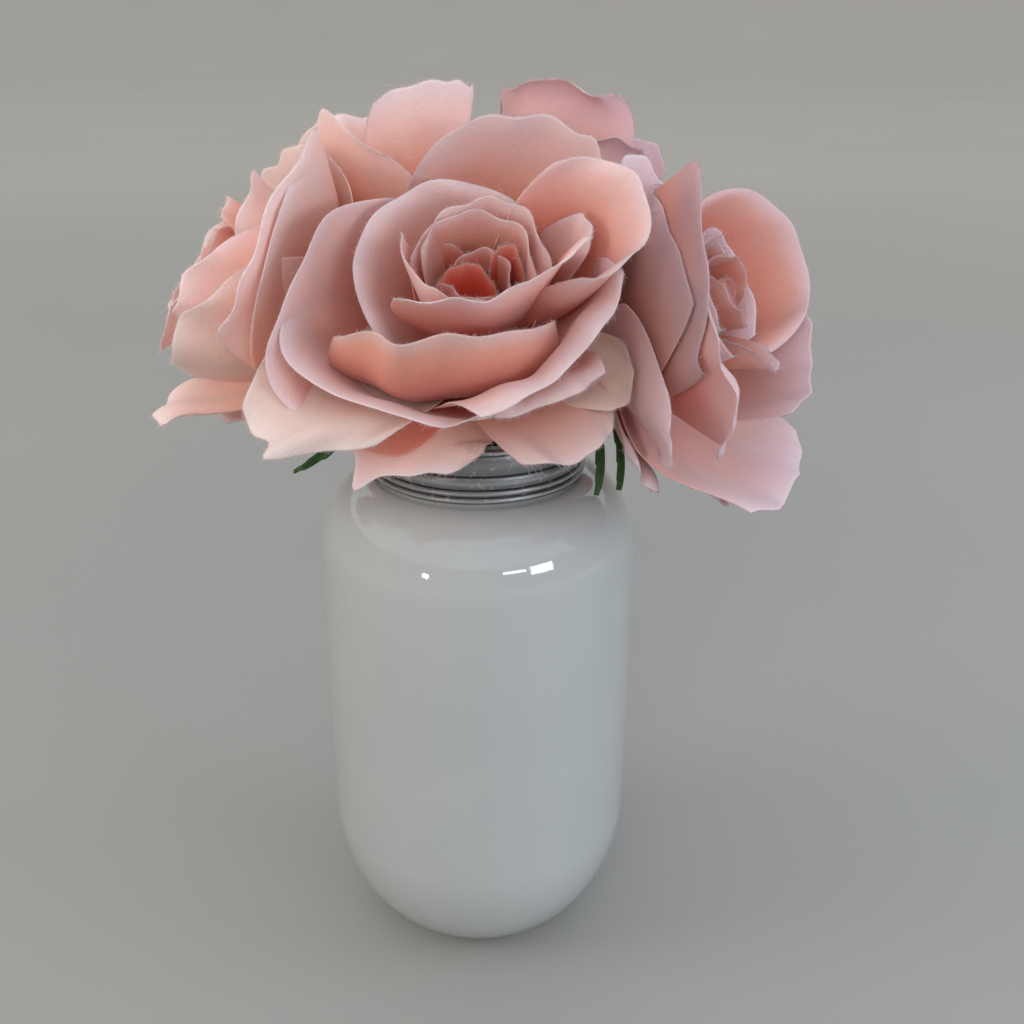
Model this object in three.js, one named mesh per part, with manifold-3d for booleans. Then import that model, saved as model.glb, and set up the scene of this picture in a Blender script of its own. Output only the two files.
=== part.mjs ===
// Five blush fabric roses standing in a white glass jar with a grey metal screw band.
// Millimetres, +Z up. The origin is the middle of the jar's flat base.
import * as THREE from "three";
import { mergeVertices } from "three/addons/utils/BufferGeometryUtils.js";
import Module from "manifold-3d";

const wasm = await Module();
wasm.setup();

// ---------------------------------------------------------------- driving dimensions

const JAR_RADIUS = 47.5;
const JAR_BASE_RADIUS = 22;
const JAR_HEEL_HEIGHT = 40.3;
const JAR_HEEL_POWER = 1.8;
const JAR_SHOULDER_START = 131.9;
const JAR_NECK_START = 155.2;
const JAR_NECK_RADIUS = 29.6;
const JAR_LIP_TOP = 170.2;
const JAR_WALL = 3.0;
const JAR_FLOOR = 6.0;
const JAR_SEGMENTS = 32;

const BAND_BOTTOM = 155.8;
const BAND_TOP = 171.4;
const BAND_RADIUS = 31.2;
const BAND_BEAD = 0.5;
const BAND_SHEET = 0.9;
const BAND_MOUTH_RADIUS = 26.6;
const BAND_SEGMENTS = 32;

const PETAL_THICKNESS = 0.7;
const PETAL_CURVE_STEPS = 60;
const SLIVER_EDGE = 0.62;
const FABRIC_GAP = 0.6;
const FABRIC_LAYER = 0.9;
const FABRIC_LAYERS = 6;
const YIELD_SOFTNESS = 3.0;
const BLOOM_HEART = 25;

const CORE_RADIUS = 12;
const CORE_FOOT_RADIUS = 6;
const CORE_BOTTOM = -4;
const STUB_RADIUS = 3.6;
const CORE_HEIGHT = 27;
const CALYX_TOP = -4.5;
const CALYX_BOTTOM = -16;
const CALYX_RADIUS = 6.2;
const CALYX_CLEAR_RADIUS = 8.8;
const CALYX_CLEAR_HEIGHT = -7;
const SEPAL_THICKNESS = 0.7;
const STEM_RADIUS = 2;
const STEM_FOOT_GAP = 0.5;
const TOUCH_GAP = 0.3;

const MOUTH_CLEAR_RADIUS = 33;
const MOUTH_CLEAR_TOP = 172;
const MOUTH_CLEARANCE = 2.5;

const DEG = Math.PI / 180;

// ---------------------------------------------------------------- the roses

// A petal, in its own bloom: `turn` is where it stands round the bloom's axis, in degrees.
// `lean` is how far it leans away from the axis at its foot, middle and rim. `curl` is the
// extra lean rolled into the rim from `from` upwards. `wrap` is its bend across, as a share
// of its distance from the axis. `spiral` sets one side edge outside the other.
const PETAL = {
  turn: 0, length: 40, width: 40, lean: [20, 10, 0], curl: 0, from: 0.78, wrap: 1, spiral: 1,
  wave: 0.8, waves: 2, phase: 0, corner: 0.2, point: 0, pointAt: 0, side: 0, start: 3, rise: 0,
  seat: [0, 0], foot: 0.25,
};

const FRONT_PETALS = [
  // the open whorl
  { turn: 98, length: 37, width: 18, lean: [7, 5, 20], spiral: 0.4, wave: 0.2, corner: 0.16,
    start: 5.5, seat: [-2.5, -9] },
  { turn: 75, length: 39, width: 12, lean: [2, 0, 5], curl: 4, spiral: -1, wave: 0.2,
    start: 3.2, seat: [5.2, 2.3] },
  { turn: 112, length: 34, width: 17, lean: [11, 7, 18], spiral: 0.6, wave: 0.2, corner: 0.18,
    start: 7, seat: [-5.3, -2.6] },
  { turn: 268, length: 44, width: 24, lean: [14, 2, 4], wrap: 1.2, spiral: 0.4, wave: 0.3,
    corner: 0.06, start: 5 },
  { turn: 60, length: 36, width: 30, lean: [16, 4, 4], spiral: 0.6, wave: 0.2 },
  // the two arcs behind it, the pointed left petal and the front petal
  { turn: 84, length: 44, width: 46, lean: [30, 7, 8], curl: 2, wrap: 1.14, spiral: 4.4,
    wave: 0.2, corner: 0.12, seat: [1.9, -0.3] },
  { turn: 82, length: 46, width: 48, lean: [32, 6, 15], curl: 4, wrap: 0.97, spiral: -0.7,
    wave: 0.3, corner: 0.14, start: 3.5, seat: [0, 0.1] },
  { turn: 238, length: 48, width: 46, lean: [30, 5, 2], curl: -3, wrap: 1.31, spiral: -4.3,
    wave: 0.3, corner: 0, point: 0.1, pointAt: -0.12, start: 3.8 },
  { turn: 293, length: 69, width: 60, lean: [22, 5, 13], curl: 10, wrap: 1.66, spiral: -1.4,
    wave: 0.5, corner: 0, side: 2, start: 3.8, rise: -1 },
  // the wide cupped petals
  { turn: 145, length: 46, width: 84, lean: [59, 29, 15], curl: 54, wrap: 0.83, spiral: 0.7,
    wave: 0.6, corner: 0.16, start: 5, rise: -1 },
  { turn: 8, length: 71, width: 61, lean: [47, 32, 9], curl: 37, wrap: 0.4, spiral: 2.6,
    corner: 0.09, start: 4, rise: -1.3 },
  { turn: 253, length: 72, width: 48, lean: [70, 24, -27], curl: 17, from: 0.88, wrap: 2.97,
    spiral: -10, wave: 1.1, waves: 2.4, phase: 0.4, corner: 0.32, start: 4, rise: -1 },
  { turn: 311, length: 57, width: 61, lean: [56, 18, 6], curl: 82, wrap: 1.69, spiral: -2.6,
    wave: 1, corner: 0, start: 4.5, rise: -2 },
  { turn: 227, length: 62, width: 74, lean: [77, 38, 12], curl: 43, from: 0.8, wrap: 1.2,
    spiral: -9.5, wave: 1, corner: 0, start: 4.5, rise: -3 },
  { turn: 180, length: 72, width: 72, lean: [74, 41, 21], curl: 55, wrap: 1.52, spiral: 9.5,
    corner: 0.3, start: 4.5, rise: -3 },
  { turn: 71, length: 64, width: 66, lean: [70, 42, 2], curl: 21, wrap: 1.33, spiral: -1,
    wave: 1, corner: 0.28, point: 0.06, pointAt: -0.6, start: 4.5, rise: -3 },
  // the outer petals that hang over the band
  { turn: 301, length: 45, width: 35, lean: [64, 30, 20], curl: 104, from: 0.8, wrap: 1.74,
    spiral: 2.2, wave: 1, corner: 0, start: 5, rise: -3 },
  { turn: 304, length: 48, width: 36, lean: [65, 64, 65], curl: 15, wrap: 1.52, spiral: 2.4,
    corner: 0.09, start: 5, rise: -3 },
  { turn: 242, length: 42, width: 39, lean: [81, 81, 81], curl: 8, wrap: 1.88, spiral: -6,
    wave: 1.2, corner: 0.17, point: 0.2, pointAt: -0.49, start: 5, rise: -3 },
  { turn: 217, length: 72, width: 52, lean: [61, 40, 78], curl: 24, wrap: 0.7, spiral: -10,
    wave: 1.2, corner: 0.12, point: 0.12, pointAt: 0.35, start: 5, rise: -3 },
  { turn: 334, length: 53, width: 25, lean: [72, 59, 62], wrap: 1.61, spiral: 1.7, wave: 1.2,
    corner: 0.14, start: 5, rise: -3 },
];

const RIGHT_PETALS = [
  { turn: 10, length: 42, width: 18, lean: [8, -2, 2], wrap: 0.9, wave: 0.2, start: 1.2 },
  { turn: 190, length: 43, width: 22, lean: [12, 0, 0], wrap: 0.9, wave: 0.2, start: 2 },
  { turn: 30, length: 45, width: 36, lean: [16, 6, 2], wave: 0.3, start: 2.5 },
  { turn: 210, length: 45, width: 38, lean: [18, 6, 2], curl: 8, wave: 0.3 },
  { turn: 0, length: 42, width: 37, lean: [19, 7, 1], curl: 2, spiral: 3.5, wave: 0.4,
    corner: 0 },
  { turn: 259, length: 52, width: 26, lean: [36, 19, 11], curl: 17, from: 0.72, wrap: 0.4,
    spiral: 1.4, wave: 0.6, corner: 0.1, start: 3.2 },
  { turn: 153, length: 43, width: 38, lean: [40, 17, -12], wrap: 0.98, spiral: -0.9,
    corner: 0.02, point: 0.14, pointAt: -0.8, start: 3.5 },
  { turn: 194, length: 46, width: 53, lean: [50, 25, -4], wrap: 0.62, spiral: 1.1, wave: 1,
    corner: 0.02, start: 3.5 },
  { turn: 29, length: 44, width: 61, lean: [43, 16, 4], curl: 21, wrap: 0.77, spiral: -3,
    corner: 0, start: 4 },
  { turn: 1, length: 65, width: 80, lean: [49, 29, 12], curl: 34, wrap: 0.59, spiral: 1.4,
    wave: 1.2, corner: 0.22, start: 4, rise: -1 },
  { turn: 315, length: 63, width: 60, lean: [55, 34, 9], curl: 19, wrap: 1.36, spiral: 1.2,
    wave: 1.2, corner: 0.09, start: 4, rise: -2 },
  { turn: 195, length: 72, width: 51, lean: [45, 28, 54], curl: 60, from: 0.82, wrap: 0.94,
    spiral: 7, wave: 1.4, corner: 0.26, start: 4, rise: -1 },
  { turn: 161, length: 61, width: 60, lean: [60, 33, 25], curl: 88, wrap: 1.66, spiral: -6,
    wave: 1.2, corner: 0, start: 4.5, rise: -2 },
  { turn: 120, length: 45, width: 72, lean: [66, 44, 21], curl: 9, wrap: 1.7, spiral: 6,
    wave: 1.4, corner: 0, start: 4.5, rise: -2 },
  { turn: 272, length: 59, width: 50, lean: [92, 62, 31], curl: 30, wrap: 1.36, spiral: 4.4,
    wave: 1.6, corner: 0.1, start: 5, rise: -3 },
  { turn: 281, length: 70, width: 71, lean: [82, 53, 27], curl: 32, wrap: 1.85, spiral: 4.2,
    wave: 1.4, corner: 0.05, start: 5, rise: -3 },
  { turn: 241, length: 44, width: 22, lean: [92, 68, 47], curl: 59, spiral: 1.8, wave: 1,
    corner: 0.15, side: 3, start: 5, rise: -3 },
  { turn: 206, length: 58, width: 50, lean: [66, 49, 60], curl: 30, wrap: 1.43, spiral: -1.7,
    wave: 1.2, corner: 0.43, start: 5, rise: -3 },
  { turn: 66, length: 50, width: 60, lean: [76, 50, 30], curl: 40, wrap: 1.2, wave: 1.4,
    start: 5, rise: -3 },
];

const LEFT_PETALS = [
  { turn: 170, length: 42, width: 18, lean: [8, -2, 2], wrap: 0.9, wave: 0.2, start: 1.2 },
  { turn: 350, length: 43, width: 22, lean: [12, 0, 0], wrap: 0.9, wave: 0.2, start: 2 },
  { turn: 200, length: 45, width: 36, lean: [16, 6, 2], wave: 0.3, start: 2.5 },
  { turn: 17, length: 44, width: 38, lean: [15, 3, 4], curl: 24, wrap: 0.93, spiral: 1.3,
    wave: 0.3, corner: 0.18 },
  { turn: 125, length: 47, width: 46, lean: [34, 16, -2], wrap: 1.15, spiral: 1.3, wave: 0.4,
    corner: 0 },
  { turn: 323, length: 48, width: 46, lean: [29, 11, 9], curl: 26, wrap: 1.21, spiral: 1.4,
    corner: 0.24, start: 3.2 },
  { turn: 240, length: 49, width: 50, lean: [30, 12, 6], curl: 16, spiral: 1.2, start: 3.2 },
  { turn: 85, length: 48, width: 60, lean: [49, 27, 8], curl: 17, wrap: 0.74, spiral: 0.3,
    wave: 1, corner: 0.14, start: 3.5 },
  { turn: 342, length: 50, width: 58, lean: [48, 21, 7], curl: 14, spiral: 2.1, wave: 1,
    corner: 0.26, start: 4 },
  { turn: 316, length: 51, width: 69, lean: [41, 17, 18], curl: 70, wrap: 0.44, spiral: -3.9,
    wave: 1.2, corner: 0, start: 4 },
  { turn: 195, length: 59, width: 74, lean: [56, 30, 13], curl: 21, wrap: 0.4, spiral: 2.3,
    wave: 1, corner: 0.5, start: 4 },
  { turn: 31, length: 53, width: 70, lean: [76, 50, 18], curl: 63, from: 0.8, wrap: 1.09,
    spiral: 4.4, wave: 1.2, corner: 0, start: 4.5, rise: -2 },
  { turn: 84, length: 52, width: 96, lean: [74, 49, 17], curl: 8, wrap: 1.54, spiral: -5.9,
    wave: 1.4, corner: 0.41, start: 4.5, rise: -2 },
  { turn: 270, length: 59, width: 24, lean: [68, 39, 23], curl: 56, from: 0.8, wrap: 1.43,
    spiral: 2.7, wave: 1, corner: 0.09, start: 5, rise: -3 },
  { turn: 335, length: 53, width: 56, lean: [54, 32, 16], curl: 18, wrap: 1.55, spiral: 2.8,
    wave: 1.2, start: 5, rise: -3 },
  { turn: 132, length: 63, width: 66, lean: [82, 57, 29], curl: 17, wrap: 1.45, spiral: 6,
    wave: 1.4, corner: 0.16, start: 5, rise: -3 },
  { turn: 232, length: 50, width: 58, lean: [76, 50, 34], curl: 40, wrap: 1.2, wave: 1.4,
    start: 5, rise: -3 },
];

const BACK_LEFT_PETALS = [
  { turn: 170, length: 42, width: 18, lean: [8, -2, 2], wrap: 0.9, wave: 0.2, start: 1.2 },
  { turn: 350, length: 43, width: 22, lean: [12, 0, 0], wrap: 0.9, wave: 0.2, start: 2 },
  { turn: 200, length: 45, width: 36, lean: [16, 6, 2], wave: 0.3, start: 2.5 },
  { turn: 20, length: 45, width: 38, lean: [18, 6, 2], curl: 8, wave: 0.3 },
  { turn: 118, length: 47, width: 46, lean: [24, 8, 4], curl: 8, spiral: 1.5, wave: 0.4 },
  { turn: 330, length: 49, width: 46, lean: [28, 10, 6], curl: 16, spiral: 1.2, start: 3.2 },
  { turn: 240, length: 49, width: 50, lean: [30, 12, 6], curl: 16, spiral: 1.2, start: 3.2 },
  { turn: 178, length: 52, width: 60, lean: [42, 18, 8], curl: 24, spiral: 1.8, wave: 1,
    corner: 0.32, start: 3.5 },
  { turn: 51, length: 50, width: 40, lean: [52, 30, -14], wrap: 1.04, spiral: -6, wave: 1,
    corner: 0.32, start: 4 },
  { turn: 292, length: 55, width: 60, lean: [52, 24, 10], curl: 40, wrap: 1.1, spiral: 1.4,
    wave: 1.2, corner: 0.32, start: 4 },
  { turn: 96, length: 58, width: 53, lean: [67, 43, 24], curl: 24, wrap: 1.47, spiral: 0.6,
    corner: 0.06, start: 4.5, rise: -1 },
  { turn: 31, length: 59, width: 54, lean: [74, 50, 33], curl: 60, wrap: 1.04, spiral: -0.5,
    wave: 1.4, corner: 0.26, start: 4.5, rise: -2 },
  { turn: 230, length: 60, width: 70, lean: [64, 40, 20], curl: 50, wrap: 1.1, spiral: 1.5,
    wave: 1.4, corner: 0.32, start: 4.5, rise: -2 },
  { turn: 310, length: 58, width: 64, lean: [76, 50, 34], curl: 50, wrap: 1.1, spiral: 1.5,
    wave: 1.4, corner: 0.32, start: 5, rise: -3 },
  { turn: 190, length: 58, width: 60, lean: [76, 50, 30], curl: 40, wrap: 1.2, wave: 1.4,
    corner: 0.32, start: 5, rise: -3 },
  { turn: 265, length: 58, width: 62, lean: [82, 66, 56], curl: 40, wrap: 1.2, wave: 1.4,
    corner: 0.32, start: 5, rise: -3 },
];

const BACK_RIGHT_PETALS = [
  { turn: 10, length: 42, width: 18, lean: [8, -2, 2], wrap: 0.9, wave: 0.2, start: 1.2 },
  { turn: 190, length: 43, width: 22, lean: [12, 0, 0], wrap: 0.9, wave: 0.2, start: 2 },
  { turn: 40, length: 45, width: 36, lean: [16, 6, 2], wave: 0.3, start: 2.5 },
  { turn: 220, length: 45, width: 38, lean: [18, 6, 2], curl: 8, wave: 0.3 },
  { turn: 100, length: 47, width: 46, lean: [24, 8, 4], curl: 8, spiral: 1.5, wave: 0.4 },
  { turn: 330, length: 49, width: 46, lean: [28, 10, 6], curl: 16, spiral: 1.2, start: 3.2 },
  { turn: 250, length: 49, width: 50, lean: [30, 12, 6], curl: 16, spiral: 1.2, start: 3.2 },
  { turn: 170, length: 49, width: 56, lean: [42, 18, 8], curl: 24, spiral: 1.8, wave: 1,
    corner: 0.32, start: 3.5 },
  { turn: 72, length: 58, width: 68, lean: [40, 14, 17], curl: 87, wrap: 1.35, spiral: -6,
    wave: 1.8, corner: 0, start: 4 },
  { turn: 292, length: 55, width: 60, lean: [52, 24, 10], curl: 40, wrap: 1.1, spiral: 1.4,
    wave: 1.2, corner: 0.32, start: 4 },
  { turn: 141, length: 46, width: 48, lean: [48, 21, 18], curl: 73, wrap: 0.43, spiral: -4.2,
    wave: 1.3, phase: 0.7, corner: 0.1, point: 0.1, pointAt: 0.6, start: 4.5, rise: -1 },
  { turn: 32, length: 50, width: 60, lean: [53, 27, 9], curl: 26, wrap: 0.7, spiral: 0.7,
    wave: 1.4, corner: 0, start: 4.5, rise: -2 },
  { turn: 230, length: 60, width: 70, lean: [64, 40, 20], curl: 50, wrap: 1.1, spiral: 1.5,
    wave: 1.4, corner: 0.32, start: 4.5, rise: -2 },
  { turn: 310, length: 58, width: 64, lean: [76, 50, 34], curl: 50, wrap: 1.1, spiral: 1.5,
    wave: 1.4, corner: 0.32, start: 5, rise: -3 },
  { turn: 190, length: 54, width: 60, lean: [76, 50, 30], curl: 40, wrap: 1.2, wave: 1.4,
    corner: 0.32, start: 5, rise: -3 },
  { turn: 265, length: 58, width: 62, lean: [82, 66, 56], curl: 40, wrap: 1.2, wave: 1.4,
    corner: 0.32, start: 5, rise: -3 },
];

// A sepal hangs from the calyx at `turn`. A long one names the point it bends round (`by`)
// and its `tip`, both in the object's frame. A short one lies back, and is `reach` long.
const ROSES = [
  { name: "front", base: [1, -11, 197.5], heading: -90, tilt: 40, petals: FRONT_PETALS,
    sepals: [{ turn: 20 }, { turn: 92 }, { turn: 164 }, { turn: 236 }, { turn: 308 }],
    stem: [[0, 6, 0], [1, 10, 120], [1, 10.4, 168], [1, 7.6, 180.5]] },
  { name: "right", base: [33.3, -7, 196.3], heading: -26, tilt: 25, petals: RIGHT_PETALS,
    sepals: [{ turn: 20, reach: 0.2 }, { turn: 92 }, { turn: 164, reach: 0.4 },
      { turn: 228, by: [26, -22, 184], tip: [35.5, -25.5, 157] },
      { turn: 290, by: [31, -18, 176], tip: [44, -22, 158.5] }],
    stem: [[15, 0, 0], [11.5, 3, 120], [11.2, 3.4, 168], [13.6, 2.4, 183]] },
  { name: "left", base: [-36.7, -3, 198], heading: 183, tilt: 30, petals: LEFT_PETALS,
    sepals: [{ turn: 20, reach: 0.3 }, { turn: 92 }, { turn: 164, reach: 0.2 }, { turn: 236 },
      { turn: 308, by: [-31, -13, 172], tip: [-53, -13, 159] }],
    stem: [[-15, -1, 0], [-12.5, -2, 120], [-12.2, -2, 168], [-15.4, -2, 182.5]] },
  { name: "back_left", base: [-20, 22, 208], heading: 120, tilt: 60,
    petals: BACK_LEFT_PETALS,
    sepals: [{ turn: 20 }, { turn: 92 }, { turn: 164 }, { turn: 236, reach: 0.5 }, { turn: 308 }],
    stem: [[-12, 14, 0], [-13, 11, 120], [-13.2, 10.4, 168], [-14, 11.4, 184]] },
  { name: "back_right", base: [22, 24, 206], heading: 58, tilt: 56,
    petals: BACK_RIGHT_PETALS,
    sepals: [{ turn: 20 }, { turn: 92 }, { turn: 164 }, { turn: 236, reach: 0.5 },
      { turn: 308, reach: 0.5 }],
    stem: [[12, 14, 0], [14, 12.5, 120], [14, 12, 168], [14.8, 12.8, 183]] },
];

// Where two neighbouring blooms meet: `shift` moves the meeting plane away from the first
// rose, and `slope` tips it, as a rise along the plane's normal.
const MEETINGS = {
  "front right": { shift: 10, slope: 0 },
  "front left": { shift: 9, slope: -0.18 },
};

const COLOURS = {
  jar: { color: 0xd9dbd9, roughness: 0.12, metalness: 0 },
  band: { color: 0x8d8f90, roughness: 0.32, metalness: 0.9 },
  bloom: { color: 0xe9b7ae, roughness: 0.85, metalness: 0 },
  calyx: { color: 0x3f5a2c, roughness: 0.7, metalness: 0 },
  stem: { color: 0x4c6b38, roughness: 0.6, metalness: 0 },
};

// ---------------------------------------------------------------- helpers

const vec = (a) => new THREE.Vector3(...a);
const clamp = (x, low, high) => Math.min(Math.max(x, low), high);
const soften = (t) => {
  const s = clamp(t, 0, 1);
  return s * s * (3 - 2 * s);
};

// The bloom's own axes: x to the right as one faces it, y up, z out along its axis.
function roseFrame(rose) {
  const heading = rose.heading * DEG;
  const tilt = rose.tilt * DEG;
  const axis = new THREE.Vector3(
    Math.cos(heading) * Math.cos(tilt),
    Math.sin(heading) * Math.cos(tilt),
    Math.sin(tilt),
  );
  const right = new THREE.Vector3(-Math.sin(heading), Math.cos(heading), 0);
  const up = new THREE.Vector3().crossVectors(axis, right);
  return new THREE.Matrix4().makeBasis(right, up, axis).setPosition(vec(rose.base));
}

function heartOf(rose) {
  return new THREE.Vector3(0, 0, BLOOM_HEART).applyMatrix4(roseFrame(rose));
}

// The plane on which two blooms press together, gently waved.
function meetingPlane(first, second) {
  const { shift = 0, slope = 0 } = MEETINGS[`${first.name} ${second.name}`] ?? {};
  const near = heartOf(first);
  const far = heartOf(second);
  const normal = near.clone().sub(far).normalize();
  normal.z += slope;
  normal.normalize();
  const across = new THREE.Vector3(0, 0, 1).cross(normal).normalize();
  const along = new THREE.Vector3().crossVectors(normal, across);
  const middle = near.add(far).multiplyScalar(0.5).addScaledVector(normal, -shift);
  return { normal, across, along, middle };
}

function planeDistance(plane, point) {
  const offset = point.clone().sub(plane.middle);
  const ripple = 1.2 * Math.sin(0.13 * offset.dot(plane.across) + 0.6)
    * Math.sin(0.11 * offset.dot(plane.along) + 0.3);
  return offset.dot(plane.normal) - ripple;
}

// Every plane that bounds one rose, with +1 where the rose is on the plane's near side.
function boundsOf(rose) {
  const own = ROSES.indexOf(rose);
  return ROSES.flatMap((other, index) => {
    if (index === own) return [];
    const [first, second] = own < index ? [rose, other] : [other, rose];
    return [{ plane: meetingPlane(first, second), side: own < index ? 1 : -1 }];
  });
}

// Fabric yields smoothly where it would cross into a neighbour, and stays `gap` from the
// plane where they meet.
function yieldToNeighbours(point, bounds, gap) {
  for (const { plane, side } of bounds) {
    const distance = side * planeDistance(plane, point);
    if (distance > 8 * YIELD_SOFTNESS) continue;
    const excess = (distance - gap) / YIELD_SOFTNESS;
    const kept = gap + YIELD_SOFTNESS * Math.log1p(Math.exp(clamp(excess, -30, 30)));
    point.addScaledVector(plane.normal, side * (kept - distance));
  }
  return point;
}

// Fabric passes round the calyx cups of the neighbours.
function clearTheCups(point, rose) {
  for (const other of ROSES) {
    if (other === rose) continue;
    const cup = new THREE.Vector3(0, 0, CALYX_CLEAR_HEIGHT).applyMatrix4(roseFrame(other));
    const away = point.clone().sub(cup);
    if (away.length() < CALYX_CLEAR_RADIUS) point.copy(cup.add(away.setLength(CALYX_CLEAR_RADIUS)));
  }
  return point;
}

// Fabric also lies outside the band and above the mouth.
function clearTheMouth(point) {
  const radius = Math.hypot(point.x, point.y);
  const beyond = radius - MOUTH_CLEAR_RADIUS;
  const above = point.z - MOUTH_CLEAR_TOP;
  const outside = Math.hypot(Math.max(beyond, 0), Math.max(above, 0))
    + Math.min(Math.max(beyond, above), 0);
  const push = Math.max(MOUTH_CLEARANCE - outside, 0);
  if (beyond > above) {
    const scale = (radius + push) / Math.max(radius, 1e-6);
    point.x *= scale;
    point.y *= scale;
  } else {
    point.z += push;
  }
  return point;
}

// ---------------------------------------------------------------- solids

function toSolid(geometry) {
  const bare = geometry.clone();
  bare.deleteAttribute("normal");
  bare.deleteAttribute("uv");
  const merged = mergeVertices(bare, 1e-4);
  return new wasm.Manifold(new wasm.Mesh({
    numProp: 3,
    vertProperties: Float32Array.from(merged.attributes.position.array),
    triVerts: Uint32Array.from(merged.index.array),
  }));
}

// Joins solids and keeps the one outer body, with any sealed hollow inside it filled.
function joinSolids(solids) {
  const joined = solids.reduce((sum, solid) => sum.add(solid));
  return joined.decompose().sort((a, b) => b.volume() - a.volume())[0];
}

function toGeometry(solid) {
  const mesh = solid.getMesh();
  const geometry = new THREE.BufferGeometry();
  geometry.setAttribute("position", new THREE.BufferAttribute(mesh.vertProperties, 3));
  geometry.setIndex(new THREE.BufferAttribute(mesh.triVerts, 1));
  geometry.computeVertexNormals();
  return geometry;
}

// Where sheets cross, the joined skin has slivers. An edge shorter than `shortest` shrinks to
// one of its ends wherever the skin stays closed and no face turns over.
function closeSlivers(solid, shortest) {
  const mesh = solid.getMesh();
  const points = [];
  for (let k = 0; k < mesh.vertProperties.length; k += 3) {
    points.push(new THREE.Vector3().fromArray(mesh.vertProperties, k));
  }
  const faces = [];
  const facesAt = points.map(() => new Set());
  for (let k = 0; k < mesh.triVerts.length; k += 3) {
    const face = Array.from(mesh.triVerts.slice(k, k + 3));
    face.forEach((corner) => facesAt[corner].add(faces.length));
    faces.push(face);
  }
  const ring = (corner) => {
    const around = new Set([...facesAt[corner]].flatMap((face) => faces[face]));
    around.delete(corner);
    return around;
  };
  const areaVector = (face) => {
    const [a, b, c] = face.map((corner) => points[corner]);
    return b.clone().sub(a).cross(c.clone().sub(a));
  };
  const mayClose = (keep, drop) => {
    const kept = ring(keep);
    if ([...ring(drop)].filter((corner) => kept.has(corner)).length !== 2) return false;
    return [...facesAt[drop]].every((index) => {
      const face = faces[index];
      if (face.includes(keep)) return true;
      const before = areaVector(face);
      const after = areaVector(face.map((corner) => (corner === drop ? keep : corner)));
      const steady = before.dot(after) > 0.5 * before.length() * after.length();
      return after.length() > 0.02 && (steady || before.length() < 0.004);
    });
  };
  const close = (keep, drop) => {
    for (const index of facesAt[drop]) {
      if (faces[index].includes(keep)) {
        faces[index].forEach((corner) => facesAt[corner].delete(index));
        faces[index] = null;
      } else {
        faces[index] = faces[index].map((corner) => (corner === drop ? keep : corner));
        facesAt[keep].add(index);
      }
    }
    facesAt[drop].clear();
  };
  for (let pass = 0; pass < 3; pass += 1) {
    for (let index = 0; index < faces.length; index += 1) {
      for (let k = 0; k < 3 && faces[index]; k += 1) {
        const [a, b] = [faces[index][k], faces[index][(k + 1) % 3]];
        if (points[a].distanceTo(points[b]) > shortest) continue;
        if (mayClose(a, b)) close(a, b);
        else if (mayClose(b, a)) close(b, a);
      }
    }
  }
  const geometry = new THREE.BufferGeometry().setFromPoints(points);
  geometry.setIndex(faces.filter((face) => face).flat());
  return toSolid(geometry);
}

// A sheet of equal thickness on both sides of a grid of points, closed round its edges.
function sheetSolid(grid, thickness) {
  const rows = grid.length;
  const columns = grid[0].length;
  const at = (i, j) => grid[clamp(i, 0, rows - 1)][clamp(j, 0, columns - 1)];
  const positions = [];
  for (const face of [0.5, -0.5]) {
    for (let i = 0; i < rows; i += 1) {
      for (let j = 0; j < columns; j += 1) {
        const alongU = at(i + 1, j).clone().sub(at(i - 1, j));
        const alongV = at(i, j + 1).clone().sub(at(i, j - 1));
        const normal = alongU.cross(alongV).normalize();
        positions.push(...at(i, j).clone().addScaledVector(normal, face * thickness).toArray());
      }
    }
  }
  const index = [];
  const top = (i, j) => i * columns + j;
  const bottom = (i, j) => rows * columns + i * columns + j;
  const quad = (a, b, c, d) => index.push(a, b, c, a, c, d);
  for (let i = 0; i < rows - 1; i += 1) {
    for (let j = 0; j < columns - 1; j += 1) {
      quad(top(i, j), top(i + 1, j), top(i + 1, j + 1), top(i, j + 1));
      index.push(bottom(i, j), bottom(i + 1, j + 1), bottom(i + 1, j));
      index.push(bottom(i, j), bottom(i, j + 1), bottom(i + 1, j + 1));
    }
  }
  for (let i = 0; i < rows - 1; i += 1) {
    quad(top(i + 1, 0), top(i, 0), bottom(i, 0), bottom(i + 1, 0));
    const end = columns - 1;
    quad(top(i, end), top(i + 1, end), bottom(i + 1, end), bottom(i, end));
  }
  for (let j = 0; j < columns - 1; j += 1) {
    quad(top(0, j), top(0, j + 1), bottom(0, j + 1), bottom(0, j));
    const end = rows - 1;
    quad(top(end, j + 1), top(end, j), bottom(end, j), bottom(end, j + 1));
  }
  const geometry = new THREE.BufferGeometry();
  geometry.setAttribute("position", new THREE.Float32BufferAttribute(positions, 3));
  geometry.setIndex(index);
  return toSolid(geometry);
}

// ---------------------------------------------------------------- petals and blooms

// How far out and how far up a petal's middle line has come at each step of its length.
function petalCurve(petal) {
  const [footLean, middleLean, rimLean] = petal.lean;
  const step = petal.length / PETAL_CURVE_STEPS;
  const curve = [{ out: 0, up: 0, lean: footLean * DEG }];
  for (let k = 1; k <= PETAL_CURVE_STEPS; k += 1) {
    const s = k / PETAL_CURVE_STEPS;
    const bend = (1 - s) ** 2 * footLean + 2 * s * (1 - s) * middleLean + s ** 2 * rimLean;
    const roll = petal.curl * clamp((s - petal.from) / (1 - petal.from), 0, 1) ** 1.6;
    const lean = (bend + roll) * DEG;
    const last = curve[k - 1];
    curve.push({
      out: last.out + step * (Math.sin(lean) + Math.sin(last.lean)) / 2,
      up: last.up + step * (Math.cos(lean) + Math.cos(last.lean)) / 2,
      lean,
    });
  }
  return curve;
}

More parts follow.
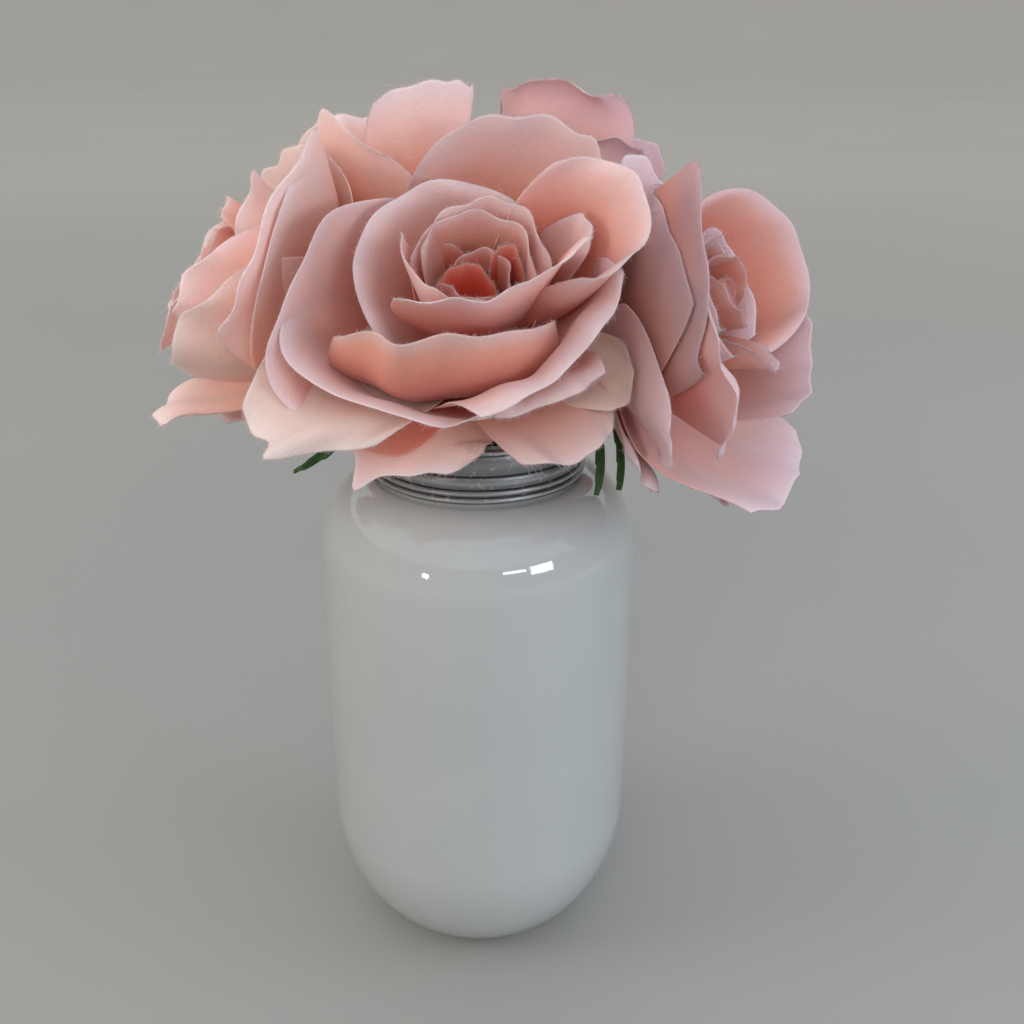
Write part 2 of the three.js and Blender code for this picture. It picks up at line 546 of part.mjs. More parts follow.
function petalPoint(petal, curve, u, v) {
  const { out, up, lean } = curve[Math.round(v * PETAL_CURVE_STEPS)];
  const share = petal.foot + (1 - petal.foot) * Math.sin((Math.PI / 2) * clamp(v / 0.62, 0, 1))
    - 0.12 * clamp((v - 0.62) / 0.38, 0, 1) ** 2;
  const reach = 1 - petal.corner * Math.abs(u) ** 2.6
    + petal.point * Math.exp(-(((u - petal.pointAt) / 0.14) ** 2));
  const bend = Math.max(petal.wrap * (petal.start + out), 1.5);
  const angle = clamp(0.5 * petal.width * share * u / bend, -2.7, 2.7);
  const fade = soften(v / 0.5);
  const lift = fade * (petal.wave * v * Math.sin(Math.PI * petal.waves * u + petal.phase)
    - petal.side * clamp((Math.abs(u) - 0.55) / 0.45, 0, 1) ** 2);
  const radius = bend + petal.spiral * u * fade - Math.cos(lean) * lift;
  const x = petal.start + reach * out - bend + radius * Math.cos(angle);
  const y = radius * Math.sin(angle);
  const turn = petal.turn * DEG;
  const seated = soften(v / 0.6);
  return new THREE.Vector3(
    x * Math.cos(turn) - y * Math.sin(turn) + petal.seat[0] * seated,
    x * Math.sin(turn) + y * Math.cos(turn) + petal.seat[1] * seated,
    petal.rise + reach * up + Math.sin(lean) * lift,
  );
}

function petalSolid(row, rose, bounds, layer) {
  const petal = { ...PETAL, ...row };
  const frame = roseFrame(rose);
  const gap = FABRIC_GAP + FABRIC_LAYER * Math.min(layer, FABRIC_LAYERS);
  const curve = petalCurve(petal);
  const across = petal.width > 40 ? 4 : 3;
  const hanging = petal.lean[1] > 60;
  const along = hanging ? 6 : (petal.width > 40 ? 3 : 2);
  const grid = [];
  for (let i = 0; i <= across; i += 1) {
    const line = [];
    for (let j = 0; j <= along; j += 1) {
      const v = j / along;
      const point = petalPoint(petal, curve, -1 + (2 * i) / across, v).applyMatrix4(frame);
      yieldToNeighbours(point, bounds, gap);
      line.push(clearTheMouth(clearTheCups(point, rose)));
    }
    grid.push(line);
  }
  return sheetSolid(grid, PETAL_THICKNESS);
}

// A round piece about the bloom's axis, pressed in where a neighbour stands.
function roundPiece(profile, frame, bounds = []) {
  const points = profile.map(([radius, height]) => new THREE.Vector2(radius, height));
  const lathe = new THREE.LatheGeometry(points, 10);
  lathe.rotateX(Math.PI / 2).applyMatrix4(frame);
  const corners = lathe.attributes.position;
  const point = new THREE.Vector3();
  for (let k = 0; k < corners.count; k += 1) {
    point.fromBufferAttribute(corners, k);
    yieldToNeighbours(point, bounds, FABRIC_GAP);
    corners.setXYZ(k, ...point.toArray());
  }
  return toSolid(lathe);
}

// The packed heart of the bloom, which all its petals grow from.
function coreSolid(frame, bounds) {
  return roundPiece([
    [0, CORE_BOTTOM], [CORE_FOOT_RADIUS, CORE_BOTTOM], [CORE_RADIUS * 0.72, 0],
    [CORE_RADIUS, 7], [CORE_RADIUS, 19], [0, CORE_HEIGHT],
  ], frame, bounds);
}

// The stub under the heart that sits on the calyx.
function stubSolid(frame) {
  return roundPiece([
    [0, CORE_BOTTOM], [STUB_RADIUS, CORE_BOTTOM], [STUB_RADIUS, 1], [0, 2.5],
  ], frame);
}

function bloomGeometry(rose) {
  const frame = roseFrame(rose);
  const bounds = boundsOf(rose);
  const outermost = rose.petals.length - 1;
  const petals = rose.petals.map(
    (row, index) => petalSolid(row, rose, bounds, outermost - index),
  );
  const bloom = joinSolids([coreSolid(frame, bounds), stubSolid(frame), ...petals]);
  return toGeometry(closeSlivers(bloom, SLIVER_EDGE));
}

// ---------------------------------------------------------------- calyx, sepals and stem

function sepalSolid(sepal, frame) {
  const turn = sepal.turn * DEG;
  const local = (radius, height) => new THREE.Vector3(
    radius * Math.cos(turn), radius * Math.sin(turn), height,
  ).applyMatrix4(frame);
  const root = local(CALYX_RADIUS * 0.6, CALYX_TOP - 3.6);
  const reach = sepal.reach ?? 1;
  const by = sepal.by ? vec(sepal.by) : local(4 + 8.5 * reach, CALYX_TOP - 3.2);
  const tip = sepal.tip ? vec(sepal.tip) : local(4 + 10.5 * reach, CALYX_TOP - 3 - 10 * reach);
  const path = new THREE.QuadraticBezierCurve3(root, by, tip);
  const stations = sepal.tip ? 7 : 4;
  const width = sepal.tip ? 6 : 5;
  const facing = sepal.tip
    ? new THREE.Vector3(by.x, by.y, 0).normalize()
    : new THREE.Vector3(0, 0, 1).transformDirection(frame);
  const grid = [[], [], []];
  for (let k = 0; k <= stations; k += 1) {
    const s = k / stations;
    const centre = path.getPoint(s);
    const side = path.getTangent(s).cross(facing).normalize();
    const tooth = k % 2 ? 1.25 : 0.8;
    const half = 0.5 * width * tooth * (0.16 + 0.84 * Math.sin(Math.PI * (0.12 + 0.86 * s)) ** 0.8);
    grid[0].push(centre.clone().addScaledVector(side, -half));
    grid[1].push(centre.clone().addScaledVector(facing, -0.18 * half));
    grid[2].push(centre.clone().addScaledVector(side, half));
  }
  return sheetSolid(grid, SEPAL_THICKNESS);
}

function calyxGeometry(rose) {
  const frame = roseFrame(rose);
  const cup = roundPiece([
    [0, CALYX_BOTTOM], [2.6, CALYX_BOTTOM], [3.0, CALYX_BOTTOM + 3], [5.4, CALYX_TOP - 4],
    [CALYX_RADIUS, CALYX_TOP - 1], [CALYX_RADIUS * 0.9, CALYX_TOP], [0, CALYX_TOP],
  ], frame);
  const sepals = rose.sepals.map((sepal) => sepalSolid(sepal, frame));
  return toGeometry(closeSlivers(joinSolids([cup, ...sepals]), SLIVER_EDGE));
}

function stemGeometry(rose) {
  const frame = roseFrame(rose);
  const [foot, ...bends] = rose.stem.map(vec);
  foot.z = JAR_FLOOR + STEM_FOOT_GAP;
  const neck = new THREE.Vector3(0, 0, CALYX_BOTTOM - 4).applyMatrix4(frame);
  const end = new THREE.Vector3(0, 0, CALYX_BOTTOM - TOUCH_GAP).applyMatrix4(frame);
  const route = new THREE.CatmullRomCurve3([foot, ...bends, neck, end], false, "centripetal");
  const section = new THREE.Shape();
  for (let k = 0; k < 6; k += 1) {
    const angle = (k * Math.PI) / 3;
    const move = k === 0 ? "moveTo" : "lineTo";
    section[move](STEM_RADIUS * Math.cos(angle), STEM_RADIUS * Math.sin(angle));
  }
  section.closePath();
  return new THREE.ExtrudeGeometry(section, { steps: 12, bevelEnabled: false, extrudePath: route });
}

// ---------------------------------------------------------------- jar and band

// A quarter turn of a rounded corner, from (r0, z0) to (r1, z1), as profile points.
function roundedCorner(r0, z0, r1, z1, power, steps, startsUpright) {
  const points = [];
  for (let k = 0; k <= steps; k += 1) {
    const angle = (k / steps) * (Math.PI / 2);
    const fast = Math.sin(angle) ** (2 / power);
    const slow = 1 - Math.cos(angle) ** (2 / power);
    const [acrossShare, upShare] = startsUpright ? [slow, fast] : [fast, slow];
    points.push(new THREE.Vector2(r0 + (r1 - r0) * acrossShare, z0 + (z1 - z0) * upShare));
  }
  return points;
}

function jarGeometry() {
  const inside = JAR_RADIUS - JAR_WALL;
  const neckInside = JAR_NECK_RADIUS - JAR_WALL;
  const profile = [
    new THREE.Vector2(0, 0),
    ...roundedCorner(JAR_BASE_RADIUS, 0, JAR_RADIUS, JAR_HEEL_HEIGHT, JAR_HEEL_POWER, 7, false),
    ...roundedCorner(JAR_RADIUS, JAR_SHOULDER_START, JAR_NECK_RADIUS + 1.2, JAR_NECK_START - 0.4,
      2, 6, true),
    new THREE.Vector2(JAR_NECK_RADIUS, JAR_NECK_START + 0.3),
    new THREE.Vector2(JAR_NECK_RADIUS, JAR_LIP_TOP - 0.8),
    new THREE.Vector2(JAR_NECK_RADIUS - 0.9, JAR_LIP_TOP),
    new THREE.Vector2(neckInside + 0.6, JAR_LIP_TOP),
    new THREE.Vector2(neckInside, JAR_LIP_TOP - 0.8),
    ...roundedCorner(neckInside, JAR_NECK_START - 2, inside, JAR_SHOULDER_START - 1, 2, 3, false),
    ...roundedCorner(inside, JAR_HEEL_HEIGHT + 1, JAR_BASE_RADIUS, JAR_FLOOR, JAR_HEEL_POWER,
      4, true),
    new THREE.Vector2(0, JAR_FLOOR),
  ];
  const jar = new THREE.LatheGeometry(profile, JAR_SEGMENTS);
  jar.rotateX(Math.PI / 2);
  return jar;
}

function bandGeometry() {
  const outer = BAND_RADIUS;
  const inner = BAND_RADIUS - BAND_SHEET;
  const bead = BAND_RADIUS + BAND_BEAD;
  const profile = [
    [inner, BAND_BOTTOM], [bead - 0.2, BAND_BOTTOM], [bead, BAND_BOTTOM + 0.6],
    [outer, BAND_BOTTOM + 1.3], [outer, BAND_BOTTOM + 2.0], [bead, BAND_BOTTOM + 2.5],
    [outer, BAND_BOTTOM + 3.0], [outer, BAND_BOTTOM + 4.0], [bead, BAND_BOTTOM + 4.6],
    [outer, BAND_BOTTOM + 5.2], [outer, BAND_TOP - 1.6], [bead - 0.1, BAND_TOP - 1.0],
    [outer - 0.4, BAND_TOP], [BAND_MOUTH_RADIUS, BAND_TOP], [BAND_MOUTH_RADIUS, BAND_TOP - 0.7],
    [inner, BAND_TOP - 0.7], [inner, BAND_BOTTOM],
  ].map(([radius, height]) => new THREE.Vector2(radius, height));
  const band = new THREE.LatheGeometry(profile, BAND_SEGMENTS);
  band.rotateX(Math.PI / 2);
  return band;
}

// ---------------------------------------------------------------- the object

function addPiece(parent, name, geometry, finish) {
  const piece = new THREE.Mesh(geometry, new THREE.MeshStandardMaterial(COLOURS[finish]));
  piece.name = name;
  parent.add(piece);
}

const arrangement = new THREE.Group();
addPiece(arrangement, "jar", jarGeometry(), "jar");
addPiece(arrangement, "band", bandGeometry(), "band");
for (const rose of ROSES) {
  addPiece(arrangement, `rose_${rose.name}_stem`, stemGeometry(rose), "stem");
  addPiece(arrangement, `rose_${rose.name}_calyx`, calyxGeometry(rose), "calyx");
  addPiece(arrangement, `rose_${rose.name}_bloom`, bloomGeometry(rose), "bloom");
}

export default arrangement;
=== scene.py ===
"""Blush fabric roses standing in a white painted glass jar with a grey metal screw band.

Sizes are written in millimetres and turned into metres as each mesh is made. +Z is up, and
the origin is the middle of the jar's flat base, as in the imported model.
"""

import logging
import math
from dataclasses import dataclass, field
from enum import Enum

import bpy
import numpy as np
from mathutils import Matrix, Vector


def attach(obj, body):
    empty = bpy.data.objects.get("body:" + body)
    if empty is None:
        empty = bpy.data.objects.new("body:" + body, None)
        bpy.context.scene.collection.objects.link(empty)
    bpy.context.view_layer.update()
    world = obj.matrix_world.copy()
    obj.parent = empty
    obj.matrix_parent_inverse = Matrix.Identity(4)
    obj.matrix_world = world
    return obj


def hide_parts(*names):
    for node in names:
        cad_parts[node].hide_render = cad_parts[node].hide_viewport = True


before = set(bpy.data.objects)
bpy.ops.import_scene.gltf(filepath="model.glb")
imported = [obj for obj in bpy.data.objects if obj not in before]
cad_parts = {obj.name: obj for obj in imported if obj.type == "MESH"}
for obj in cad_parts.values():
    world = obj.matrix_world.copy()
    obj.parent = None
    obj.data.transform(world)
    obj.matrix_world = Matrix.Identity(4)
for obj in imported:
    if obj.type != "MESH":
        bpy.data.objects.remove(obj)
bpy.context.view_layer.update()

LOG = logging.getLogger("roses")
MM = 0.001

Colour = tuple[float, float, float]
Point = tuple[float, float, float]


# ---------------------------------------------------------------- small sums


def smooth(t: np.ndarray) -> np.ndarray:
    """Three t squared minus two t cubed, with t held between 0 and 1.

    Args:
        t: Any array.

    Returns:
        The eased array.
    """
    s = np.clip(t, 0.0, 1.0)
    return s * s * (3.0 - 2.0 * s)


def unit(vectors: np.ndarray) -> np.ndarray:
    """Each vector divided by its own length.

    Args:
        vectors: An array whose last axis holds x, y and z.

    Returns:
        Vectors of length one.
    """
    length = np.linalg.norm(vectors, axis=-1, keepdims=True)
    return vectors / np.maximum(length, 1e-9)


def grid_normals(grid: np.ndarray) -> np.ndarray:
    """The cross product of a grid's two directions, each by central differences.

    Args:
        grid: Points of shape (rows, columns, 3).

    Returns:
        Unit normals of the same shape.
    """
    return unit(np.cross(np.gradient(grid, axis=0), np.gradient(grid, axis=1)))


def linear(red: int, green: int, blue: int) -> Colour:
    """A screen colour of 0 to 255 as linear light, by the sRGB curve.

    Args:
        red: Red, 0 to 255.
        green: Green, 0 to 255.
        blue: Blue, 0 to 255.

    Returns:
        The linear colour.
    """
    def curve(value: int) -> float:
        """One channel through the sRGB curve."""
        share = value / 255.0
        return share / 12.92 if share <= 0.04045 else ((share + 0.055) / 1.055) ** 2.4

    return curve(red), curve(green), curve(blue)


# ---------------------------------------------------------------- meshes


@dataclass
class MeshDraft:
    """Gathers closed surfaces as arrays and turns them into one Blender mesh.

    Attributes:
        points: Blocks of vertices in millimetres.
        cloth: Blocks of flat cloth coordinates in centimetres, one pair for each vertex.
        marks: Blocks of named numbers, one for each vertex.
        faces: Blocks of faces, as arrays with three or four columns.
        count: Vertices stored so far.
    """

    points: list[np.ndarray] = field(default_factory=list)
    cloth: list[np.ndarray] = field(default_factory=list)
    marks: dict[str, list[np.ndarray]] = field(default_factory=dict)
    faces: list[np.ndarray] = field(default_factory=list)
    count: int = 0

    def store(
        self, points: np.ndarray, faces: list[np.ndarray], cloth: np.ndarray | None = None,
        marks: dict[str, np.ndarray] | None = None,
    ) -> None:
        """Adds one block of vertices and the faces that index it.

        Args:
            points: Vertices of shape (n, 3).
            faces: Face arrays that count from 0 within the block.
            cloth: Cloth coordinates of shape (n, 2), or None for zeros.
            marks: Named numbers of shape (n,).
        """
        size = len(points)
        self.points.append(points)
        self.cloth.append(np.zeros((size, 2)) if cloth is None else cloth)
        for name, values in (marks or {}).items():
            self.marks.setdefault(name, []).append(np.broadcast_to(values, (size,)))
        self.faces.extend(block + self.count for block in faces)
        self.count += size

    def sheet(
        self, middle: np.ndarray, thickness: np.ndarray | float, cloth: np.ndarray,
        marks: dict[str, np.ndarray],
    ) -> None:
        """A thin closed sheet: both faces lie half a thickness from the middle surface.

        Args:
            middle: Middle surface, of shape (rows, columns, 3).
            thickness: Thickness in millimetres, one number or one for each point.
            cloth: Cloth coordinates of shape (rows, columns, 2).
            marks: Named numbers of shape (rows, columns).
        """
        rows, columns, _ = middle.shape
        offset = grid_normals(middle) * (np.asarray(thickness) / 2.0 * np.ones((rows, columns)))[..., None]
        points = np.concatenate([(middle + offset).reshape(-1, 3), (middle - offset).reshape(-1, 3)])
        top = np.arange(rows * columns).reshape(rows, columns)
        under = top + rows * columns
        faces = [
            _quads(top), _quads(under)[:, ::-1],
            _strip(top[:, 0], under[:, 0]), _strip(under[:, -1], top[:, -1]),
            _strip(under[0], top[0]), _strip(top[-1], under[-1]),
        ]
        both = {name: np.concatenate([v.ravel(), v.ravel()]) for name, v in marks.items()}
        self.store(points, faces, np.concatenate([cloth.reshape(-1, 2)] * 2), both)

    def lathe(self, profile: np.ndarray, around: int, marks: dict[str, np.ndarray]) -> None:
        """A profile turned round the z axis; ends that lie on the axis become poles.

        Args:
            profile: Radius and height pairs. It runs up the outside and down the inside.
            around: Steps round the axis.
            marks: Named numbers, one for each profile point.
        """
        on_axis = profile[:, 0] < 1e-6
        ring = profile[~on_axis]
        angle = np.linspace(0.0, 2.0 * math.pi, around, endpoint=False)
        x = ring[:, None, 0] * np.cos(angle)
        y = ring[:, None, 0] * np.sin(angle)
        z = np.broadcast_to(ring[:, None, 1], x.shape)
        points = np.stack([x, y, z], -1)
        index = np.arange(len(ring) * around).reshape(len(ring), around)
        closed = np.concatenate([index, index[:, :1]], axis=1)
        faces = []
        if on_axis.any():
            poles = profile[on_axis]
            faces.append(_quads(closed)[:, ::-1])
            first, last = len(ring) * around, len(ring) * around + 1
            faces.append(_fan(closed[0], first)[:, ::-1])
            faces.append(_fan(closed[-1], last))
            extra = np.stack([0 * poles[:, 1], 0 * poles[:, 1], poles[:, 1]], -1)
        else:
            faces.append(_quads(np.concatenate([closed, closed[:1]]))[:, ::-1])
            extra = np.zeros((0, 3))
        values = {
            name: np.concatenate([np.repeat(v[~on_axis], around), v[on_axis]])
            for name, v in marks.items()
        }
        self.store(np.concatenate([points.reshape(-1, 3), extra]), faces, None, values)

    def tubes(
        self, paths: np.ndarray, radius: np.ndarray, sides: int, marks: dict[str, np.ndarray],
    ) -> None:
        """Round rods along paths, with closed ends: a circle is set square to each path.

        Args:
            paths: Points of shape (rods, steps, 3).
            radius: Radius at each step, of shape (rods, steps).
            sides: Sides of the round section.
            marks: Named numbers of shape (rods, steps).
        """
        rods, steps, _ = paths.shape
        ahead = unit(np.gradient(paths, axis=1))
        spare = np.where(np.abs(ahead[..., 2:]) > 0.8, [1.0, 0.0, 0.0], [0.0, 0.0, 1.0])
        across = unit(np.cross(spare, ahead))
        up = np.cross(ahead, across)
        angle = np.linspace(0.0, 2.0 * math.pi, sides, endpoint=False)
        circle = across[:, :, None] * np.cos(angle)[:, None] + up[:, :, None] * np.sin(angle)[:, None]
        points = paths[:, :, None] + circle * radius[:, :, None, None]
        index = np.arange(rods * steps * sides).reshape(rods, steps, sides)
        wrapped = np.concatenate([index, index[:, :, :1]], axis=2)
        quads = np.stack([
            wrapped[:, :-1, :-1], wrapped[:, :-1, 1:], wrapped[:, 1:, 1:], wrapped[:, 1:, :-1],
        ], -1).reshape(-1, 4)
        ends = rods * steps * sides + np.arange(rods * 2).reshape(rods, 2)
        foot = np.stack([wrapped[:, 0, 1:], wrapped[:, 0, :-1],
                         np.broadcast_to(ends[:, :1], (rods, sides))], -1).reshape(-1, 3)
        head = np.stack([wrapped[:, -1, :-1], wrapped[:, -1, 1:],
                         np.broadcast_to(ends[:, 1:], (rods, sides))], -1).reshape(-1, 3)
        caps = np.stack([paths[:, 0], paths[:, -1]], 1).reshape(-1, 3)
        values = {
            name: np.concatenate([
                np.repeat(v.reshape(-1), sides), np.stack([v[:, 0], v[:, -1]], 1).ravel()
            ])
            for name, v in marks.items()
        }
        self.store(np.concatenate([points.reshape(-1, 3), caps]), [quads, foot, head], None, values)

    def shape(self, name: str, material: bpy.types.Material) -> bpy.types.Object:
        """Makes the Blender object and dresses it.

        Args:
            name: The object's name.
            material: What it is dressed in.

        Returns:
            The object, at the origin, with its place in its mesh.
        """
        mesh = bpy.data.meshes.new(name)
        points = np.concatenate(self.points) * MM
        faces = [face for block in self.faces for face in block.tolist()]
        mesh.from_pydata(points, [], faces)
        corner = np.empty(len(mesh.loops), dtype=np.int32)
        mesh.loops.foreach_get("vertex_index", corner)
        layer = mesh.uv_layers.new(name="cloth")
        layer.data.foreach_set("uv", np.concatenate(self.cloth)[corner].ravel())
        for mark, blocks in self.marks.items():
            values = np.concatenate(blocks).astype(np.float32)
            mesh.attributes.new(mark, "FLOAT", "POINT").data.foreach_set("value", values)
        mesh.shade_smooth()
        mesh.materials.append(material)
        piece = bpy.data.objects.new(name, mesh)
        bpy.context.scene.collection.objects.link(piece)
        LOG.info("%s: %d faces", name, len(mesh.polygons))
        return piece

    def build(
        self, name: str, material: bpy.types.Material, node: str | None, slot: str,
    ) -> bpy.types.Object:
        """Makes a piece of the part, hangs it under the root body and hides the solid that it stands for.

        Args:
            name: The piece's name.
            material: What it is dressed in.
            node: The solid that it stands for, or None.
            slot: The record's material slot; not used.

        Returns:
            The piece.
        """
        piece = self.shape(name, material)
        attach(piece, "root")
        if node:
            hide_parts(node)
        return piece


def _quads(index: np.ndarray) -> np.ndarray:
    """Four-sided faces between neighbours of an index grid, as rows of four."""
    return np.stack([index[:-1, :-1], index[1:, :-1], index[1:, 1:], index[:-1, 1:]], -1).reshape(-1, 4)


def _strip(first: np.ndarray, second: np.ndarray) -> np.ndarray:
    """Faces between two lines of indices of the same length."""
    return np.stack([first[:-1], second[:-1], second[1:], first[1:]], -1)


def _fan(ring: np.ndarray, pole: int) -> np.ndarray:
    """Triangles between a closed ring of indices and a pole."""
    return np.stack([ring[:-1], ring[1:], np.full(len(ring) - 1, pole)], -1)


# ---------------------------------------------------------------- the roses' plan


@dataclass(frozen=True)
class Petal:
    """One petal, in millimetres and degrees, in its own bloom's axes.

    Attributes:
        turn: Where it stands round the bloom's axis.
        length: Length from foot to rim along the cloth.
        width: Widest width along the cloth.
        lean: Lean away from the axis at the foot, the middle and the rim.
        curl: Extra lean rolled into the rim.
        curl_from: Where the curl starts, as a share of the length.
        wrap: Bend across, as a share of the distance from the axis.
        spiral: How far one side edge lies outside the other.
        wave: Height of the side-to-side waves.
        waves: How many half waves.
        phase: Phase of the waves, in radians.
        corner: How far the rim's corners are rounded back.
        point: A pointed tip, as a share of the length.
        point_at: Where the tip stands across the rim, from -1 to 1.
        side: How far the side edges fold back.
        start: Distance of the foot from the axis.
        rise: Height of the foot along the axis.
        seat: Sideways shift of the whole petal.
        foot: Width of the foot, as a share of the width.
        dye_and_shade: Painted shade: how much deeper its colour is than its neighbours', on a petal that lies
            in shade.
    """

    turn: float
    length: float
    width: float
    lean: tuple[float, float, float]
    curl: float = 0.0
    curl_from: float = 0.78
    wrap: float = 1.0
    spiral: float = 1.0
    wave: float = 0.8
    waves: float = 2.0
    phase: float = 0.0
    corner: float = 0.2
    point: float = 0.0
    point_at: float = 0.0
    side: float = 0.0
    start: float = 3.0
    rise: float = 0.0
    seat: tuple[float, float] = (0.0, 0.0)
    foot: float = 0.25
    dye_and_shade: float = 0.0


@dataclass(frozen=True)
class Sepal:
    """One green sepal of a calyx.

    Attributes:
        turn: Where it stands round the bloom's axis, in degrees.
        reach: Length of a short one, as a share of the usual.
        by: The point that a long one bends round, in the object's frame, or None.
        tip: The end of a long one, or None.
    """

    turn: float
    reach: float = 1.0
    by: Point | None = None
    tip: Point | None = None


class Tint(Enum):
    """How the colour of a bloom leans: its share of mauve, partly dyed in and partly painted shade; it also
    scales the painted shade on inner petals.
    """

    SALMON = 0.0
    BLUSH = 0.3
    MAUVE = 0.75


@dataclass(frozen=True)
class Rose:
    """Where one rose stands and what it is made of.

    Attributes:
        name: Its name in the object.
        base: The foot of its petals.
        heading: Compass direction of its axis, in degrees from +X towards +Y.
        tilt: Elevation of its axis, in degrees.
        tint: The lean of its dye.
        petals: Its petals, from the heart outwards.
        sepals: Its sepals.
        stem: Points that its stem passes, from the foot up.
    """

    name: str
    base: Point
    heading: float
    tilt: float
    tint: Tint
    petals: tuple[Petal, ...]
    sepals: tuple[Sepal, ...]
    stem: tuple[Point, ...]

    def axes(self) -> np.ndarray:
        """The bloom's own axes as rows: right, up and outward along its axis."""
        heading, tilt = math.radians(self.heading), math.radians(self.tilt)
        outward = np.array([
            math.cos(heading) * math.cos(tilt), math.sin(heading) * math.cos(tilt), math.sin(tilt)
        ])
        right = np.array([-math.sin(heading), math.cos(heading), 0.0])
        return np.stack([right, np.cross(outward, right), outward])

    def place(self, local: np.ndarray) -> np.ndarray:
        """Points of the bloom's axes in the object's frame: base plus each axis times its share.

        Args:
            local: Points whose last axis holds right, up and outward.

        Returns:
            Points in the object's frame.
        """
        return np.asarray(self.base) + local @ self.axes()


@dataclass(frozen=True)
class Plane:
    """Where two blooms press together.

    Attributes:
        normal: From the second bloom towards the first.
        across: Level direction in the plane.
        along: The third direction.
        middle: A point of the plane.
        side: +1 for the first bloom, -1 for the second.
    """

    normal: np.ndarray
    across: np.ndarray
    along: np.ndarray
    middle: np.ndarray
    side: float


@dataclass
class Bunch:
    """The roses together, and how their cloth yields where they crowd.

    Attributes:
        roses: The roses, in order.
        shifts: How far a meeting plane moves away from the first rose of a pair.
        slopes: How far that plane's normal rises.
        heart: Distance of a bloom's middle along its axis.
        gap: Least distance of cloth from a meeting plane.
        layer: Extra distance for each layer further in.
        layers: Layers that add to the distance.
        softness: Width of the zone in which cloth yields.
        cup_radius: Room kept round another rose's calyx.
        cup_height: Where that room's middle lies along the axis.
        mouth_radius: Radius of the band, which cloth lies outside.
        mouth_top: Top of the band.
        mouth_clearance: Cloth's distance from it.
    """

    roses: tuple[Rose, ...]
    shifts: dict[tuple[str, str], float]
    slopes: dict[tuple[str, str], float]
    heart: float = 25.0
    gap: float = 0.6
    layer: float = 0.9
    layers: int = 6
    softness: float = 3.0
    cup_radius: float = 8.8
    cup_height: float = -7.0
    mouth_radius: float = 33.0
    mouth_top: float = 172.0
    mouth_clearance: float = 2.5

    def planes(self, rose: Rose) -> list[Plane]:
        """The planes that bound one rose.

        Each stands midway between two hearts, square to the line between them, then is shifted and
        sloped.

        Args:
            rose: The rose to bound.

        Returns:
            One plane for each other rose.
        """
        own = self.roses.index(rose)
        found = []
        for index, other in enumerate(self.roses):
            if index == own:
                continue
            first, second = (rose, other) if own < index else (other, rose)
            pair = (first.name, second.name)
            near = first.place(np.array([0.0, 0.0, self.heart]))
            far = second.place(np.array([0.0, 0.0, self.heart]))
            normal = unit(near - far)
            normal = unit(normal + np.array([0.0, 0.0, self.slopes.get(pair, 0.0)]))
            across = unit(np.cross([0.0, 0.0, 1.0], normal))
            middle = (near + far) / 2.0 - normal * self.shifts.get(pair, 0.0)
            side = 1.0 if own < index else -1.0
            found.append(Plane(normal, across, np.cross(normal, across), middle, side))
        return found

    def press(self, rose: Rose, points: np.ndarray, layer: int) -> np.ndarray:
        """Cloth yields at each plane.

        Its distance d becomes gap + softness * log(1 + exp((d - gap) / softness)).

        Args:
            rose: The rose that the cloth belongs to.
            points: The cloth, in the object's frame.
            layer: How many layers lie outside it.

        Returns:
            The cloth after it has yielded.
        """
        gap = self.gap + self.layer * min(layer, self.layers)
        for plane in self.planes(rose):
            offset = points - plane.middle
            swell = 1.2 * np.sin(0.13 * (offset @ plane.across) + 0.6)
            swell = swell * np.sin(0.11 * (offset @ plane.along) + 0.3)
            distance = plane.side * (offset @ plane.normal - swell)
            excess = np.clip((distance - gap) / self.softness, -30.0, 30.0)
            kept = gap + self.softness * np.log1p(np.exp(excess))
            push = np.where(distance > 8.0 * self.softness, 0.0, kept - distance)
            points = points + (plane.side * push)[..., None] * plane.normal
        return points

    def clear(self, rose: Rose, points: np.ndarray) -> np.ndarray:
        """Cloth also passes round the other roses' calyx cups, and outside the band or above its mouth.

        Args:
            rose: The rose that the cloth belongs to.
            points: The cloth, in the object's frame.

        Returns:
            The cloth clear of cups and band.
        """
        for other in self.roses:
            if other is rose:
                continue
            cup = other.place(np.array([0.0, 0.0, self.cup_height]))
            away = points - cup
            far = np.linalg.norm(away, axis=-1, keepdims=True)
            points = cup + away * np.maximum(self.cup_radius / np.maximum(far, 1e-6), 1.0)
        radius = np.hypot(points[..., 0], points[..., 1])
        beyond, above = radius - self.mouth_radius, points[..., 2] - self.mouth_top
        outside = np.hypot(np.maximum(beyond, 0.0), np.maximum(above, 0.0))
        outside = outside + np.minimum(np.maximum(beyond, above), 0.0)
        push = np.maximum(self.mouth_clearance - outside, 0.0)
        sideways = np.where(beyond > above, push, 0.0) / np.maximum(radius, 1e-6)
        moved = points * np.stack([1.0 + sideways, 1.0 + sideways, 0 * sideways + 1.0], -1)
        moved[..., 2] += np.where(beyond > above, 0.0, push)
        return moved


# ---------------------------------------------------------------- the petals, row by row

